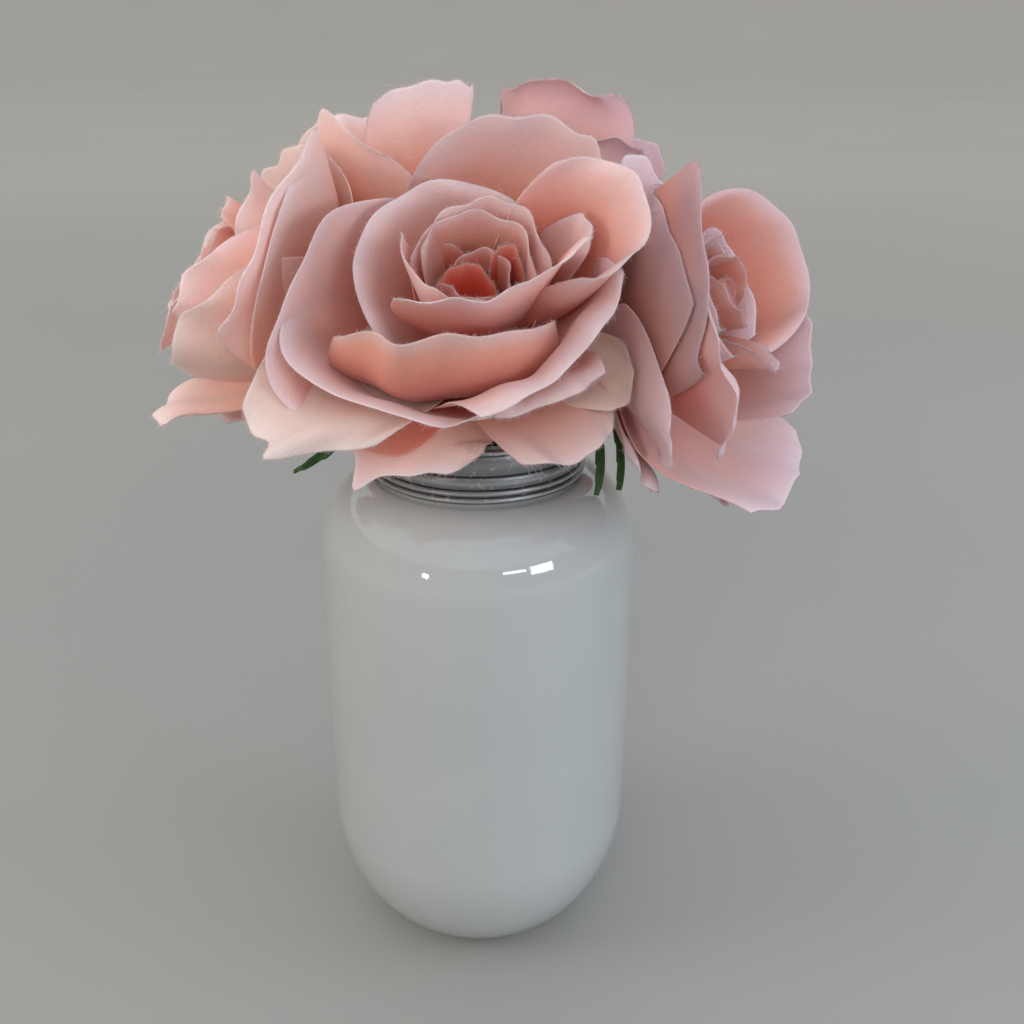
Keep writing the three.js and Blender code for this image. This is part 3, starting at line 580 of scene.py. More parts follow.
FRONT_PETALS = (
    Petal(turn=98, length=37, width=18, lean=(7, 5, 20), spiral=0.4, wave=0.2, corner=0.16,
          start=5.5, seat=(-2.5, -9)),
    Petal(turn=75, length=39, width=12, lean=(2, 0, 5), curl=4, spiral=-1, wave=0.2, start=3.2,
          seat=(5.2, 2.3)),
    Petal(turn=112, length=34, width=17, lean=(11, 7, 18), spiral=0.6, wave=0.2, corner=0.18,
          start=7, seat=(-5.3, -2.6)),
    Petal(turn=268, length=44, width=24, lean=(14, 2, 4), wrap=1.2, spiral=0.4, wave=0.3,
          corner=0.06, start=5),
    Petal(turn=60, length=36, width=30, lean=(16, 4, 4), spiral=0.6, wave=0.2),
    Petal(turn=84, length=44, width=46, lean=(30, 7, 8), curl=2, wrap=1.14, spiral=4.4, wave=0.2,
          corner=0.12, seat=(1.9, -0.3)),
    Petal(turn=82, length=46, width=48, lean=(32, 6, 15), curl=4, wrap=0.97, spiral=-0.7,
          wave=0.3, corner=0.14, start=3.5, seat=(0, 0.1)),
    Petal(turn=238, length=48, width=46, lean=(30, 5, 2), curl=-3, wrap=1.31, spiral=-4.3,
          wave=0.3, corner=0, point=0.1, point_at=-0.12, start=3.8),
    Petal(turn=288, length=69, width=52, lean=(22, 5, 13), curl=10, wrap=1.66, spiral=-1.4,
          wave=0.5, corner=0, side=2, start=3.8, rise=-1),
    Petal(turn=20, length=51, width=21, lean=(24, 46, 14), curl=14, wrap=0.8, spiral=0.4, wave=0.2,
          corner=0.3, start=4),
    Petal(turn=145, length=46, width=84, lean=(59, 29, 15), curl=54, wrap=0.83, spiral=0.7,
          wave=0.6, corner=0.16, start=5, rise=-1),
    # This petal lies in shade; its deeper colour is painted shade.
    Petal(turn=8, length=71, width=61, lean=(47, 32, 9), curl=37, wrap=0.4, spiral=2.6,
          corner=0.09, start=4, rise=-1.3, dye_and_shade=0.1),
    Petal(turn=251, length=72, width=56, lean=(70, 24, -27), curl=17, curl_from=0.88, wrap=2.97,
          spiral=-10, wave=1.1, waves=2.4, phase=0.4, corner=0.32, start=4, rise=-1,
          dye_and_shade=0.48),
    Petal(turn=311, length=57, width=61, lean=(56, 18, 6), curl=82, wrap=1.69, spiral=-2.6,
          wave=1, corner=0, start=4.5, rise=-2),
    Petal(turn=227, length=62, width=74, lean=(77, 38, 12), curl=43, curl_from=0.8, wrap=1.2,
          spiral=-9.5, wave=1, corner=0, start=4.5, rise=-3),
    Petal(turn=180, length=72, width=72, lean=(74, 41, 21), curl=55, wrap=1.52, spiral=9.5,
          corner=0.3, start=4.5, rise=-3),
    Petal(turn=71, length=64, width=66, lean=(70, 42, 2), curl=21, wrap=1.33, spiral=-1, wave=1,
          corner=0.28, point=0.06, point_at=-0.6, start=4.5, rise=-3),
    Petal(turn=301, length=45, width=35, lean=(64, 30, 20), curl=104, curl_from=0.8, wrap=1.74,
          spiral=2.2, wave=1, corner=0, start=5, rise=-3),
    Petal(turn=304, length=48, width=36, lean=(65, 64, 65), curl=15, wrap=1.52, spiral=2.4,
          corner=0.09, start=5, rise=-3),
    Petal(turn=242, length=42, width=39, lean=(81, 81, 81), curl=8, wrap=1.88, spiral=-6,
          wave=1.2, corner=0.17, point=0.2, point_at=-0.49, start=5, rise=-3),
    Petal(turn=217, length=72, width=52, lean=(61, 40, 78), curl=24, wrap=0.7, spiral=-10,
          wave=1.2, corner=0.12, point=0.12, point_at=0.35, start=5, rise=-3),
    Petal(turn=334, length=53, width=25, lean=(72, 59, 62), wrap=1.61, spiral=1.7, wave=1.2,
          corner=0.14, start=5, rise=-3),
)

RIGHT_PETALS = (
    Petal(turn=10, length=42, width=18, lean=(8, -2, 2), wrap=0.9, wave=0.2, start=1.2),
    Petal(turn=190, length=43, width=22, lean=(12, 0, 0), wrap=0.9, wave=0.2, start=2),
    Petal(turn=30, length=45, width=36, lean=(16, 6, 2), wave=0.3, start=2.5),
    Petal(turn=210, length=45, width=38, lean=(18, 6, 2), curl=8, wave=0.3),
    Petal(turn=0, length=42, width=37, lean=(19, 7, 1), curl=2, spiral=3.5, wave=0.4, corner=0),
    Petal(turn=259, length=52, width=26, lean=(36, 19, 11), curl=17, curl_from=0.72, wrap=0.4,
          spiral=1.4, wave=0.6, corner=0.1, start=3.2),
    Petal(turn=153, length=43, width=38, lean=(40, 17, -12), wrap=0.98, spiral=-0.9, corner=0.02,
          point=0.14, point_at=-0.8, start=3.5),
    Petal(turn=194, length=46, width=53, lean=(50, 25, -4), wrap=0.62, spiral=1.1, wave=1,
          corner=0.02, start=3.5),
    Petal(turn=29, length=44, width=61, lean=(43, 16, 4), curl=21, wrap=0.77, spiral=-3, corner=0,
          start=4),
    # This petal lies in shade; its deeper colour is painted shade.
    Petal(turn=1, length=65, width=80, lean=(49, 29, 12), curl=34, wrap=0.59, spiral=1.4,
          wave=1.2, corner=0.22, start=4, rise=-1, dye_and_shade=0.3),
    Petal(turn=315, length=63, width=60, lean=(55, 34, 9), curl=19, wrap=1.36, spiral=1.2,
          wave=1.2, corner=0.09, start=4, rise=-2),
    Petal(turn=195, length=72, width=51, lean=(45, 28, 54), curl=60, curl_from=0.82, wrap=0.94,
          spiral=7, wave=1.4, corner=0.26, start=4, rise=-1),
    Petal(turn=161, length=61, width=60, lean=(60, 33, 25), curl=88, wrap=1.66, spiral=-6,
          wave=1.2, corner=0, start=4.5, rise=-2),
    Petal(turn=120, length=45, width=72, lean=(66, 44, 21), curl=9, wrap=1.7, spiral=6, wave=1.4,
          corner=0, start=4.5, rise=-2),
    Petal(turn=272, length=59, width=50, lean=(92, 62, 31), curl=30, wrap=1.36, spiral=4.4,
          wave=1.6, corner=0.1, start=5, rise=-3),
    Petal(turn=281, length=70, width=71, lean=(82, 53, 27), curl=32, wrap=1.85, spiral=4.2,
          wave=1.4, corner=0.05, start=5, rise=-3),
    Petal(turn=241, length=44, width=22, lean=(92, 68, 47), curl=59, spiral=1.8, wave=1,
          corner=0.15, side=3, start=5, rise=-3),
    Petal(turn=206, length=58, width=50, lean=(66, 49, 60), curl=30, wrap=1.43, spiral=-1.7,
          wave=1.2, corner=0.43, start=5, rise=-3),
    Petal(turn=66, length=50, width=60, lean=(76, 50, 30), curl=40, wrap=1.2, wave=1.4, start=5,
          rise=-3),
)

LEFT_PETALS = (
    Petal(turn=170, length=42, width=18, lean=(8, -2, 2), wrap=0.9, wave=0.2, start=1.2),
    Petal(turn=350, length=43, width=22, lean=(12, 0, 0), wrap=0.9, wave=0.2, start=2),
    Petal(turn=200, length=45, width=36, lean=(16, 6, 2), wave=0.3, start=2.5),
    Petal(turn=17, length=44, width=38, lean=(15, 3, 4), curl=24, wrap=0.93, spiral=1.3, wave=0.3,
          corner=0.18),
    Petal(turn=125, length=47, width=46, lean=(34, 16, -2), wrap=1.15, spiral=1.3, wave=0.4,
          corner=0),
    Petal(turn=323, length=48, width=46, lean=(29, 11, 9), curl=26, wrap=1.21, spiral=1.4,
          corner=0.24, start=3.2),
    Petal(turn=240, length=49, width=50, lean=(30, 12, 6), curl=16, spiral=1.2, start=3.2),
    Petal(turn=85, length=48, width=60, lean=(49, 27, 8), curl=17, wrap=0.74, spiral=0.3, wave=1,
          corner=0.14, start=3.5),
    Petal(turn=342, length=50, width=58, lean=(48, 21, 7), curl=14, spiral=2.1, wave=1,
          corner=0.26, start=4),
    Petal(turn=316, length=51, width=69, lean=(41, 17, 18), curl=70, wrap=0.44, spiral=-3.9,
          wave=1.2, corner=0, start=4),
    Petal(turn=195, length=59, width=74, lean=(56, 30, 13), curl=21, wrap=0.4, spiral=2.3, wave=1,
          corner=0.5, start=4),
    Petal(turn=31, length=53, width=70, lean=(76, 50, 18), curl=63, curl_from=0.8, wrap=1.09,
          spiral=4.4, wave=1.2, corner=0, start=4.5, rise=-2),
    Petal(turn=84, length=52, width=96, lean=(74, 49, 17), curl=8, wrap=1.54, spiral=-5.9,
          wave=1.4, corner=0.41, start=4.5, rise=-2),
    Petal(turn=270, length=59, width=24, lean=(68, 39, 23), curl=56, curl_from=0.8, wrap=1.43,
          spiral=2.7, wave=1, corner=0.09, start=5, rise=-3),
    Petal(turn=335, length=53, width=56, lean=(54, 32, 16), curl=18, wrap=1.55, spiral=2.8,
          wave=1.2, start=5, rise=-3),
    Petal(turn=132, length=63, width=66, lean=(82, 57, 29), curl=17, wrap=1.45, spiral=6,
          wave=1.4, corner=0.16, start=5, rise=-3),
    Petal(turn=232, length=50, width=58, lean=(76, 50, 34), curl=40, wrap=1.2, wave=1.4, start=5,
          rise=-3),
)

BACK_LEFT_PETALS = (
    Petal(turn=170, length=42, width=18, lean=(8, -2, 2), wrap=0.9, wave=0.2, start=1.2),
    Petal(turn=350, length=43, width=22, lean=(12, 0, 0), wrap=0.9, wave=0.2, start=2),
    Petal(turn=200, length=45, width=36, lean=(16, 6, 2), wave=0.3, start=2.5),
    Petal(turn=20, length=45, width=38, lean=(18, 6, 2), curl=8, wave=0.3),
    Petal(turn=118, length=47, width=46, lean=(24, 8, 4), curl=8, spiral=1.5, wave=0.4),
    Petal(turn=330, length=49, width=46, lean=(28, 10, 6), curl=16, spiral=1.2, start=3.2),
    Petal(turn=240, length=49, width=50, lean=(30, 12, 6), curl=16, spiral=1.2, start=3.2),
    Petal(turn=178, length=52, width=60, lean=(42, 18, 8), curl=24, spiral=1.8, wave=1,
          corner=0.32, start=3.5),
    Petal(turn=51, length=50, width=40, lean=(52, 30, -14), wrap=1.04, spiral=-6, wave=1,
          corner=0.32, start=4),
    Petal(turn=292, length=55, width=60, lean=(52, 24, 10), curl=40, wrap=1.1, spiral=1.4,
          wave=1.2, corner=0.32, start=4),
    Petal(turn=96, length=58, width=53, lean=(67, 43, 24), curl=24, wrap=1.47, spiral=0.6,
          corner=0.06, start=4.5, rise=-1),
    Petal(turn=31, length=59, width=54, lean=(74, 50, 33), curl=60, wrap=1.04, spiral=-0.5,
          wave=1.4, corner=0.26, start=4.5, rise=-2),
    Petal(turn=230, length=60, width=70, lean=(64, 40, 20), curl=50, wrap=1.1, spiral=1.5,
          wave=1.4, corner=0.32, start=4.5, rise=-2),
    Petal(turn=310, length=58, width=64, lean=(76, 50, 34), curl=50, wrap=1.1, spiral=1.5,
          wave=1.4, corner=0.32, start=5, rise=-3),
    Petal(turn=190, length=58, width=60, lean=(76, 50, 30), curl=40, wrap=1.2, wave=1.4,
          corner=0.32, start=5, rise=-3),
    Petal(turn=265, length=58, width=62, lean=(82, 66, 56), curl=40, wrap=1.2, wave=1.4,
          corner=0.32, start=5, rise=-3),
)

BACK_RIGHT_PETALS = (
    Petal(turn=10, length=42, width=18, lean=(8, -2, 2), wrap=0.9, wave=0.2, start=1.2),
    Petal(turn=190, length=43, width=22, lean=(12, 0, 0), wrap=0.9, wave=0.2, start=2),
    Petal(turn=40, length=45, width=36, lean=(16, 6, 2), wave=0.3, start=2.5),
    Petal(turn=220, length=45, width=38, lean=(18, 6, 2), curl=8, wave=0.3),
    Petal(turn=100, length=47, width=46, lean=(24, 8, 4), curl=8, spiral=1.5, wave=0.4),
    Petal(turn=330, length=49, width=46, lean=(28, 10, 6), curl=16, spiral=1.2, start=3.2),
    Petal(turn=250, length=49, width=50, lean=(30, 12, 6), curl=16, spiral=1.2, start=3.2),
    Petal(turn=170, length=49, width=56, lean=(42, 18, 8), curl=24, spiral=1.8, wave=1,
          corner=0.32, start=3.5),
    Petal(turn=72, length=58, width=68, lean=(40, 14, 17), curl=87, wrap=1.35, spiral=-6,
          wave=1.8, corner=0, start=4),
    Petal(turn=292, length=55, width=60, lean=(52, 24, 10), curl=40, wrap=1.1, spiral=1.4,
          wave=1.2, corner=0.32, start=4),
    Petal(turn=141, length=46, width=48, lean=(48, 21, 18), curl=73, wrap=0.43, spiral=-4.2,
          wave=1.3, phase=0.7, corner=0.1, point=0.1, point_at=0.6, start=4.5, rise=-1),
    Petal(turn=32, length=50, width=60, lean=(53, 27, 9), curl=26, wrap=0.7, spiral=0.7, wave=1.4,
          corner=0, start=4.5, rise=-2),
    Petal(turn=230, length=60, width=70, lean=(64, 40, 20), curl=50, wrap=1.1, spiral=1.5,
          wave=1.4, corner=0.32, start=4.5, rise=-2),
    Petal(turn=310, length=58, width=64, lean=(76, 50, 34), curl=50, wrap=1.1, spiral=1.5,
          wave=1.4, corner=0.32, start=5, rise=-3),
    Petal(turn=190, length=54, width=60, lean=(76, 50, 30), curl=40, wrap=1.2, wave=1.4,
          corner=0.32, start=5, rise=-3),
    Petal(turn=265, length=58, width=62, lean=(82, 66, 56), curl=40, wrap=1.2, wave=1.4,
          corner=0.32, start=5, rise=-3),
)

SHORT_SEPALS = (Sepal(20), Sepal(92), Sepal(164), Sepal(236), Sepal(308))

BUNCH = Bunch(
    roses=(
        Rose("front", (1, -11, 197.5), -90, 40, Tint.BLUSH, FRONT_PETALS, SHORT_SEPALS,
             ((0, 6, 6.5), (1, 10, 120), (1, 10.4, 168), (1, 7.6, 180.5))),
        Rose("right", (33.3, -7, 196.3), -26, 25, Tint.MAUVE, RIGHT_PETALS,
             (Sepal(20, 0.2), Sepal(92), Sepal(164, 0.4),
              Sepal(228, by=(39, -24.5, 172), tip=(33, -26, 156.5)),
              Sepal(290, by=(44, -25, 176), tip=(39.5, -26, 158))),
             ((15, 0, 6.5), (11.5, 3, 120), (11.2, 3.4, 168), (13.6, 2.4, 183))),
        Rose("left", (-36.7, -3, 198), 183, 30, Tint.SALMON, LEFT_PETALS,
             (Sepal(20, 0.3), Sepal(92), Sepal(164, 0.2), Sepal(236),
              Sepal(308, by=(-31, -13, 172), tip=(-53, -13, 159))),
             ((-15, -1, 6.5), (-12.5, -2, 120), (-12.2, -2, 168), (-15.4, -2, 182.5))),
        Rose("back_left", (-20, 22, 208), 120, 60, Tint.SALMON, BACK_LEFT_PETALS,
             (Sepal(20), Sepal(92), Sepal(164), Sepal(236, 0.5), Sepal(308)),
             ((-12, 14, 6.5), (-13, 11, 120), (-13.2, 10.4, 168), (-14, 11.4, 184))),
        Rose("back_right", (22, 24, 206), 58, 56, Tint.MAUVE, BACK_RIGHT_PETALS,
             (Sepal(20), Sepal(92), Sepal(164), Sepal(236, 0.5), Sepal(308, 0.5)),
             ((12, 14, 6.5), (14, 12.5, 120), (14, 12, 168), (14.8, 12.8, 183))),
    ),
    shifts={("front", "right"): 10.0, ("front", "left"): 9.0},
    slopes={("front", "left"): -0.18},
)


# ---------------------------------------------------------------- nodes and finishes


class Wiring:
    """Places shader nodes in one tree and joins them by their sockets."""

    def __init__(self, tree: bpy.types.NodeTree) -> None:
        """Keeps the tree.

        Args:
            tree: The node tree to fill.
        """
        self.tree = tree

    def place(self, kind: str, inputs: dict | None = None, **settings: object) -> bpy.types.Node:
        """Adds a node, sets its options and feeds its inputs.

        Args:
            kind: The node's type.
            inputs: Values or output sockets, by input name or number.
            **settings: The node's own options.

        Returns:
            The node.
        """
        node = self.tree.nodes.new(kind)
        for name, value in settings.items():
            setattr(node, name, value)
        for name, value in (inputs or {}).items():
            socket = node.inputs[name]
            if isinstance(value, bpy.types.NodeSocket):
                self.tree.links.new(value, socket)
            elif isinstance(value, tuple) and socket.type == "RGBA":
                socket.default_value = (*value, 1.0)
            else:
                socket.default_value = value
        return node

    def math(
        self, operation: str, a: object, b: object = 0.0, c: object = 0.0, clamp: bool = False,
    ) -> bpy.types.NodeSocket:
        """One sum of two or three numbers.

        Args:
            operation: The sum's name.
            a: First number or socket.
            b: Second number or socket.
            c: Third number or socket.
            clamp: Hold the answer between 0 and 1.

        Returns:
            The answer's socket.
        """
        node = self.place("ShaderNodeMath", {0: a, 1: b, 2: c}, operation=operation, use_clamp=clamp)
        return node.outputs[0]

    def blend(self, share: object, a: object, b: object, blend_type: str = "MIX") -> bpy.types.NodeSocket:
        """Colour a turned towards colour b by a share.

        Args:
            share: Number or socket from 0 to 1.
            a: First colour or socket.
            b: Second colour or socket.
            blend_type: How the two are put together.

        Returns:
            The colour's socket.
        """
        node = self.place("ShaderNodeMix", {0: share, 6: a, 7: b}, data_type="RGBA", blend_type=blend_type)
        return node.outputs[2]

    def remap(
        self, value: object, low: float, high: float, to_low: float = 0.0, to_high: float = 1.0,
    ) -> bpy.types.NodeSocket:
        """A straight line from one span to another, held at its ends.

        Args:
            value: The number's socket.
            low: Start of its span.
            high: End of its span.
            to_low: What the start becomes.
            to_high: What the end becomes.

        Returns:
            The answer's socket.
        """
        names = {"Value": value, "From Min": low, "From Max": high, "To Min": to_low, "To Max": to_high}
        return self.place("ShaderNodeMapRange", names).outputs[0]

    def ramp(self, value: object, stops: tuple[tuple[float, Colour], ...]) -> bpy.types.NodeSocket:
        """A colour read from stops along a line.

        Args:
            value: Where to read, from 0 to 1.
            stops: Places and linear colours.

        Returns:
            The colour's socket.
        """
        node = self.place("ShaderNodeValToRGB", {0: value})
        band = node.color_ramp
        while len(band.elements) < len(stops):
            band.elements.new(0.5)
        for element, (place, colour) in zip(band.elements, stops):
            element.position = place
            element.color = (*colour, 1.0)
        return node.outputs[0]

    def mark(self, name: str) -> bpy.types.NodeSocket:
        """The numbers that a piece carries under a name."""
        return self.place("ShaderNodeAttribute", attribute_name=name).outputs["Fac"]

    def noise(
        self, scale: float, detail: float = 2.0, roughness: float = 0.5, vector: object = None,
    ) -> bpy.types.NodeSocket:
        """Soft noise of about 0 to 1 on Object coordinates, or on another vector.

        Args:
            scale: Its fineness.
            detail: Its octaves.
            roughness: Weight of the finer octaves.
            vector: A vector socket, or None for Object coordinates.

        Returns:
            The noise value's socket.
        """
        names = {
            "Vector": vector or self.where(), "Scale": scale, "Detail": detail, "Roughness": roughness,
        }
        return self.place("ShaderNodeTexNoise", names).outputs[0]

    def where(self) -> bpy.types.NodeSocket:
        """Object coordinates."""
        return self.place("ShaderNodeTexCoord").outputs["Object"]

    def times(self, a: object, b: object) -> bpy.types.NodeSocket:
        """The product of two numbers."""
        return self.math("MULTIPLY", a, b)

    def stretch(self, vector: object, factors: Point) -> bpy.types.NodeSocket:
        """A vector whose parts are multiplied by three factors."""
        node = self.place("ShaderNodeVectorMath", {0: vector, 1: factors}, operation="MULTIPLY")
        return node.outputs[0]

    def shade(self, colour: object, amount: object) -> bpy.types.NodeSocket:
        """A colour multiplied by a number."""
        grey = self.place("ShaderNodeCombineXYZ", {0: amount, 1: amount, 2: amount}).outputs[0]
        return self.blend(1.0, colour, grey, "MULTIPLY")

    def bump(self, height: object, strength: float, distance: float) -> bpy.types.NodeSocket:
        """A normal tilted by a height, whose full range is a distance in metres.

        Args:
            height: The height's socket.
            strength: Share of the tilt that is used.
            distance: The height's full range.

        Returns:
            The normal's socket.
        """
        names = {"Strength": strength, "Distance": distance, "Height": height}
        return self.place("ShaderNodeBump", names).outputs[0]

    def cover(self, shader: bpy.types.Node) -> None:
        """Sends a shader to the material's surface."""
        self.place("ShaderNodeOutputMaterial", {"Surface": shader.outputs[0]})


def new_group(
    name: str, inputs: dict[str, tuple[str, float]], outputs: dict[str, str],
) -> tuple[Wiring, bpy.types.Node, bpy.types.Node]:
    """An empty shader node group with named sockets.

    Args:
        name: The group's name.
        inputs: Socket type and default value, by name.
        outputs: Socket type, by name.

    Returns:
        Its wiring, its input node and its output node.
    """
    tree = bpy.data.node_groups.new(name, "ShaderNodeTree")
    for socket, (kind, default) in inputs.items():
        made = tree.interface.new_socket(socket, in_out="INPUT", socket_type=kind)
        if kind == "NodeSocketFloat":
            made.default_value = default
    for socket, kind in outputs.items():
        tree.interface.new_socket(socket, in_out="OUTPUT", socket_type=kind)
    wiring = Wiring(tree)
    return wiring, wiring.place("NodeGroupInput"), wiring.place("NodeGroupOutput")


def weave_group() -> bpy.types.NodeTree:
    """Plain weave: ridges of warp and weft, the absolute sines of the two cloth coordinates.

    Each is on top where the product of the two sines has its sign.

    Returns:
        A group with inputs Cloth and Pitch and outputs Height and Slub.
    """
    wiring, given, result = new_group(
        "Plain weave", {"Cloth": ("NodeSocketVector", 0.0), "Pitch": ("NodeSocketFloat", 0.05)},
        {"Height": "NodeSocketFloat", "Slub": "NodeSocketFloat"},
    )
    parts = wiring.place("ShaderNodeSeparateXYZ", {0: given.outputs["Cloth"]})
    turns = wiring.math("DIVIDE", math.pi, given.outputs["Pitch"])
    warp = wiring.math("SINE", wiring.times(parts.outputs[0], turns))
    weft = wiring.math("SINE", wiring.times(parts.outputs[1], turns))
    over = wiring.math("MULTIPLY_ADD", wiring.times(warp, weft), 0.5, 0.5)
    under = wiring.math("SUBTRACT", 1.0, over)
    high = wiring.math(
        "MAXIMUM", wiring.times(wiring.math("ABSOLUTE", warp), over),
        wiring.times(wiring.math("ABSOLUTE", weft), under),
    )
    slub = wiring.noise(1.0, 1.0, 0.5, wiring.stretch(given.outputs["Cloth"], (4.0, 40.0, 1.0)))
    wiring.tree.links.new(high, result.inputs["Height"])
    wiring.tree.links.new(slub, result.inputs["Slub"])
    return wiring.tree


def dust_group() -> bpy.types.NodeTree:
    """Dust and handling marks: fine noise above a level, thinned by broad noise.

    Returns:
        A group with inputs Scale and Level and outputs Specks and Cloud.
    """
    wiring, given, result = new_group(
        "Dust and marks", {"Scale": ("NodeSocketFloat", 400.0), "Level": ("NodeSocketFloat", 0.7)},
        {"Specks": "NodeSocketFloat", "Cloud": "NodeSocketFloat"},
    )
    fine = wiring.noise(given.outputs["Scale"], 1.0)
    cloud = wiring.noise(18.0, 3.0, 0.55)
    level = wiring.math("SUBTRACT", given.outputs["Level"], wiring.times(cloud, 0.06))
    specks = wiring.math("MULTIPLY", wiring.math("SUBTRACT", fine, level), 30.0, clamp=True)
    wiring.tree.links.new(specks, result.inputs["Specks"])
    wiring.tree.links.new(cloud, result.inputs["Cloud"])
    return wiring.tree


@dataclass(frozen=True)
class Workshop:
    """The shared effects that the finishes draw on.

    Attributes:
        weave: Plain weave.
        dust: Dust and handling marks.
    """

    weave: bpy.types.NodeTree
    dust: bpy.types.NodeTree


def blank_material(name: str) -> tuple[bpy.types.Material, Wiring]:
    """A node material without nodes.

    Args:
        name: The material's name.

    Returns:
        The material and its wiring.
    """
    material = bpy.data.materials.new(name)
    material.use_nodes = True
    material.node_tree.nodes.clear()
    return material, Wiring(material.node_tree)


@dataclass(frozen=True)
class PetalFinish:
    """Dyed, stiffened cloth: salmon in its depth, blush in the middle and pale at the rim, with painted shade
    in its depth and a painted highlight on its rims.

    Attributes:
        tint: The lean of the dye.
        deep: Colour at the foot: dyed cloth, and painted shade deep in the bloom.
        warm: Colour a little below the middle.
        blush: Colour of the body.
        pale: Colour near the rim.
        mauve: What the rim leans to.
        cream: Colour of the outermost petals.
        lilac: Colour of a mauve rose's outermost petals.
        frayed_and_highlight: Colour of the pale rim band: fraying cloth, widened as a painted highlight.
        dusk: Painted shade multiplied into the inner petals, most on a mauve rose.
        lit_through: What light that passes through is dyed.
        pitch: Width of two threads, in centimetres.
        glow: Share of light that passes through.
        heart_depth: How far down its range the colour is read in the heart and on petals that lie in shade:
            partly dyed in, partly painted shade.
        rim_hidden: Share of the pale rim band, fraying and painted highlight, that the heart lacks.
    """

    tint: Tint
    deep: Colour = linear(240, 92, 62)
    warm: Colour = linear(254, 184, 160)
    blush: Colour = linear(255, 222, 212)
    pale: Colour = linear(255, 236, 232)
    mauve: Colour = linear(250, 220, 230)
    cream: Colour = linear(248, 236, 224)
    lilac: Colour = linear(246, 238, 250)
    frayed_and_highlight: Colour = linear(255, 244, 246)
    dusk: Colour = linear(180, 128, 148)
    lit_through: Colour = linear(255, 208, 190)
    pitch: float = 0.05
    glow: float = 0.34
    heart_depth: float = 0.72
    rim_hidden: float = 0.8

    def dress(self, workshop: Workshop) -> bpy.types.Material:
        """Builds the material.

        Args:
            workshop: The shared effects.

        Returns:
            The petals' material.
        """
        material, wire = blank_material(f"petal_cloth_{self.tint.name.lower()}")
        cloth = wire.place("ShaderNodeUVMap", uv_map="cloth").outputs[0]
        weave = wire.place("ShaderNodeGroup", {"Cloth": cloth, "Pitch": self.pitch}, node_tree=workshop.weave)
        patchy = wire.times(wire.math("SUBTRACT", wire.noise(55.0, 3.0, 0.6), 0.5), 0.22)
        along = wire.math("ADD", wire.mark("along"), patchy)
        # Painted shade: the heart and petals that lie in shade read the colour deeper.
        along = wire.math("SUBTRACT", along, wire.times(wire.mark("heart"), self.heart_depth))
        # Deeper towards the foot: dyed cloth, and painted shade deep in the bloom.
        dye_and_shade = wire.ramp(along, (
            (0.0, self.deep), (0.45, self.warm), (0.76, self.blush), (0.94, self.pale),
        ))
        lean = wire.times(wire.remap(along, 0.62, 1.0), 0.25 + 0.75 * self.tint.value)
        dye_and_shade = wire.blend(lean, dye_and_shade, self.mauve)
        # The pale rim band: fraying cloth, widened as a painted highlight.
        edge = wire.remap(wire.mark("along"), 0.86, 0.985, 0.0, 0.85)
        hidden = wire.times(wire.mark("heart"), self.rim_hidden)
        open_out = wire.math("SUBTRACT", 1.0, hidden, clamp=True)
        dye_and_shade = wire.blend(wire.times(edge, open_out), dye_and_shade, self.frayed_and_highlight)
        # Painted shade on the inner petals, scaled by the tint's share of mauve.
        inner = wire.math("SUBTRACT", 1.0, wire.mark("outer"))
        painted_inner_shade = wire.math("MULTIPLY", inner, self.tint.value, clamp=True)
        dye_and_shade = wire.blend(painted_inner_shade, dye_and_shade, wire.blend(0.5, dye_and_shade, self.dusk, "MULTIPLY"))
        faded = wire.times(wire.mark("outer"), wire.remap(wire.mark("along"), 1.0, 0.5, 0.55, 0.9))
        dye_and_shade = wire.blend(faded, dye_and_shade, self.lilac if self.tint is Tint.MAUVE else self.cream)
        tone = wire.remap(wire.mark("tone"), -1.0, 1.0, 0.93, 1.05)
        slub = wire.remap(weave.outputs["Slub"], 0.3, 0.7, 0.95, 1.04)
        thread = wire.remap(weave.outputs["Height"], 0.1, 0.6, 0.84, 1.02)
        dye_and_shade = wire.shade(dye_and_shade, wire.times(wire.times(tone, slub), thread))
        threads = wire.times(weave.outputs["Height"], 0.18)
        normal = wire.bump(wire.math("MULTIPLY_ADD", wire.noise(260.0, 3.0, 0.6), 0.6, threads), 0.5, 0.0004)
        body = wire.place("ShaderNodeBsdfPrincipled", {
            "Base Color": dye_and_shade, "Roughness": 0.78, "Normal": normal, "Specular IOR Level": 0.25,
            "Sheen Weight": 0.35, "Sheen Roughness": 0.45,
        })
        through = wire.blend(0.5, dye_and_shade, self.lit_through, "MULTIPLY")
        glow = wire.place("ShaderNodeBsdfTranslucent", {"Color": through, "Normal": normal})
        mixed = wire.place("ShaderNodeMixShader", {0: self.glow, 1: body.outputs[0], 2: glow.outputs[0]})
        wire.cover(mixed)
        return material


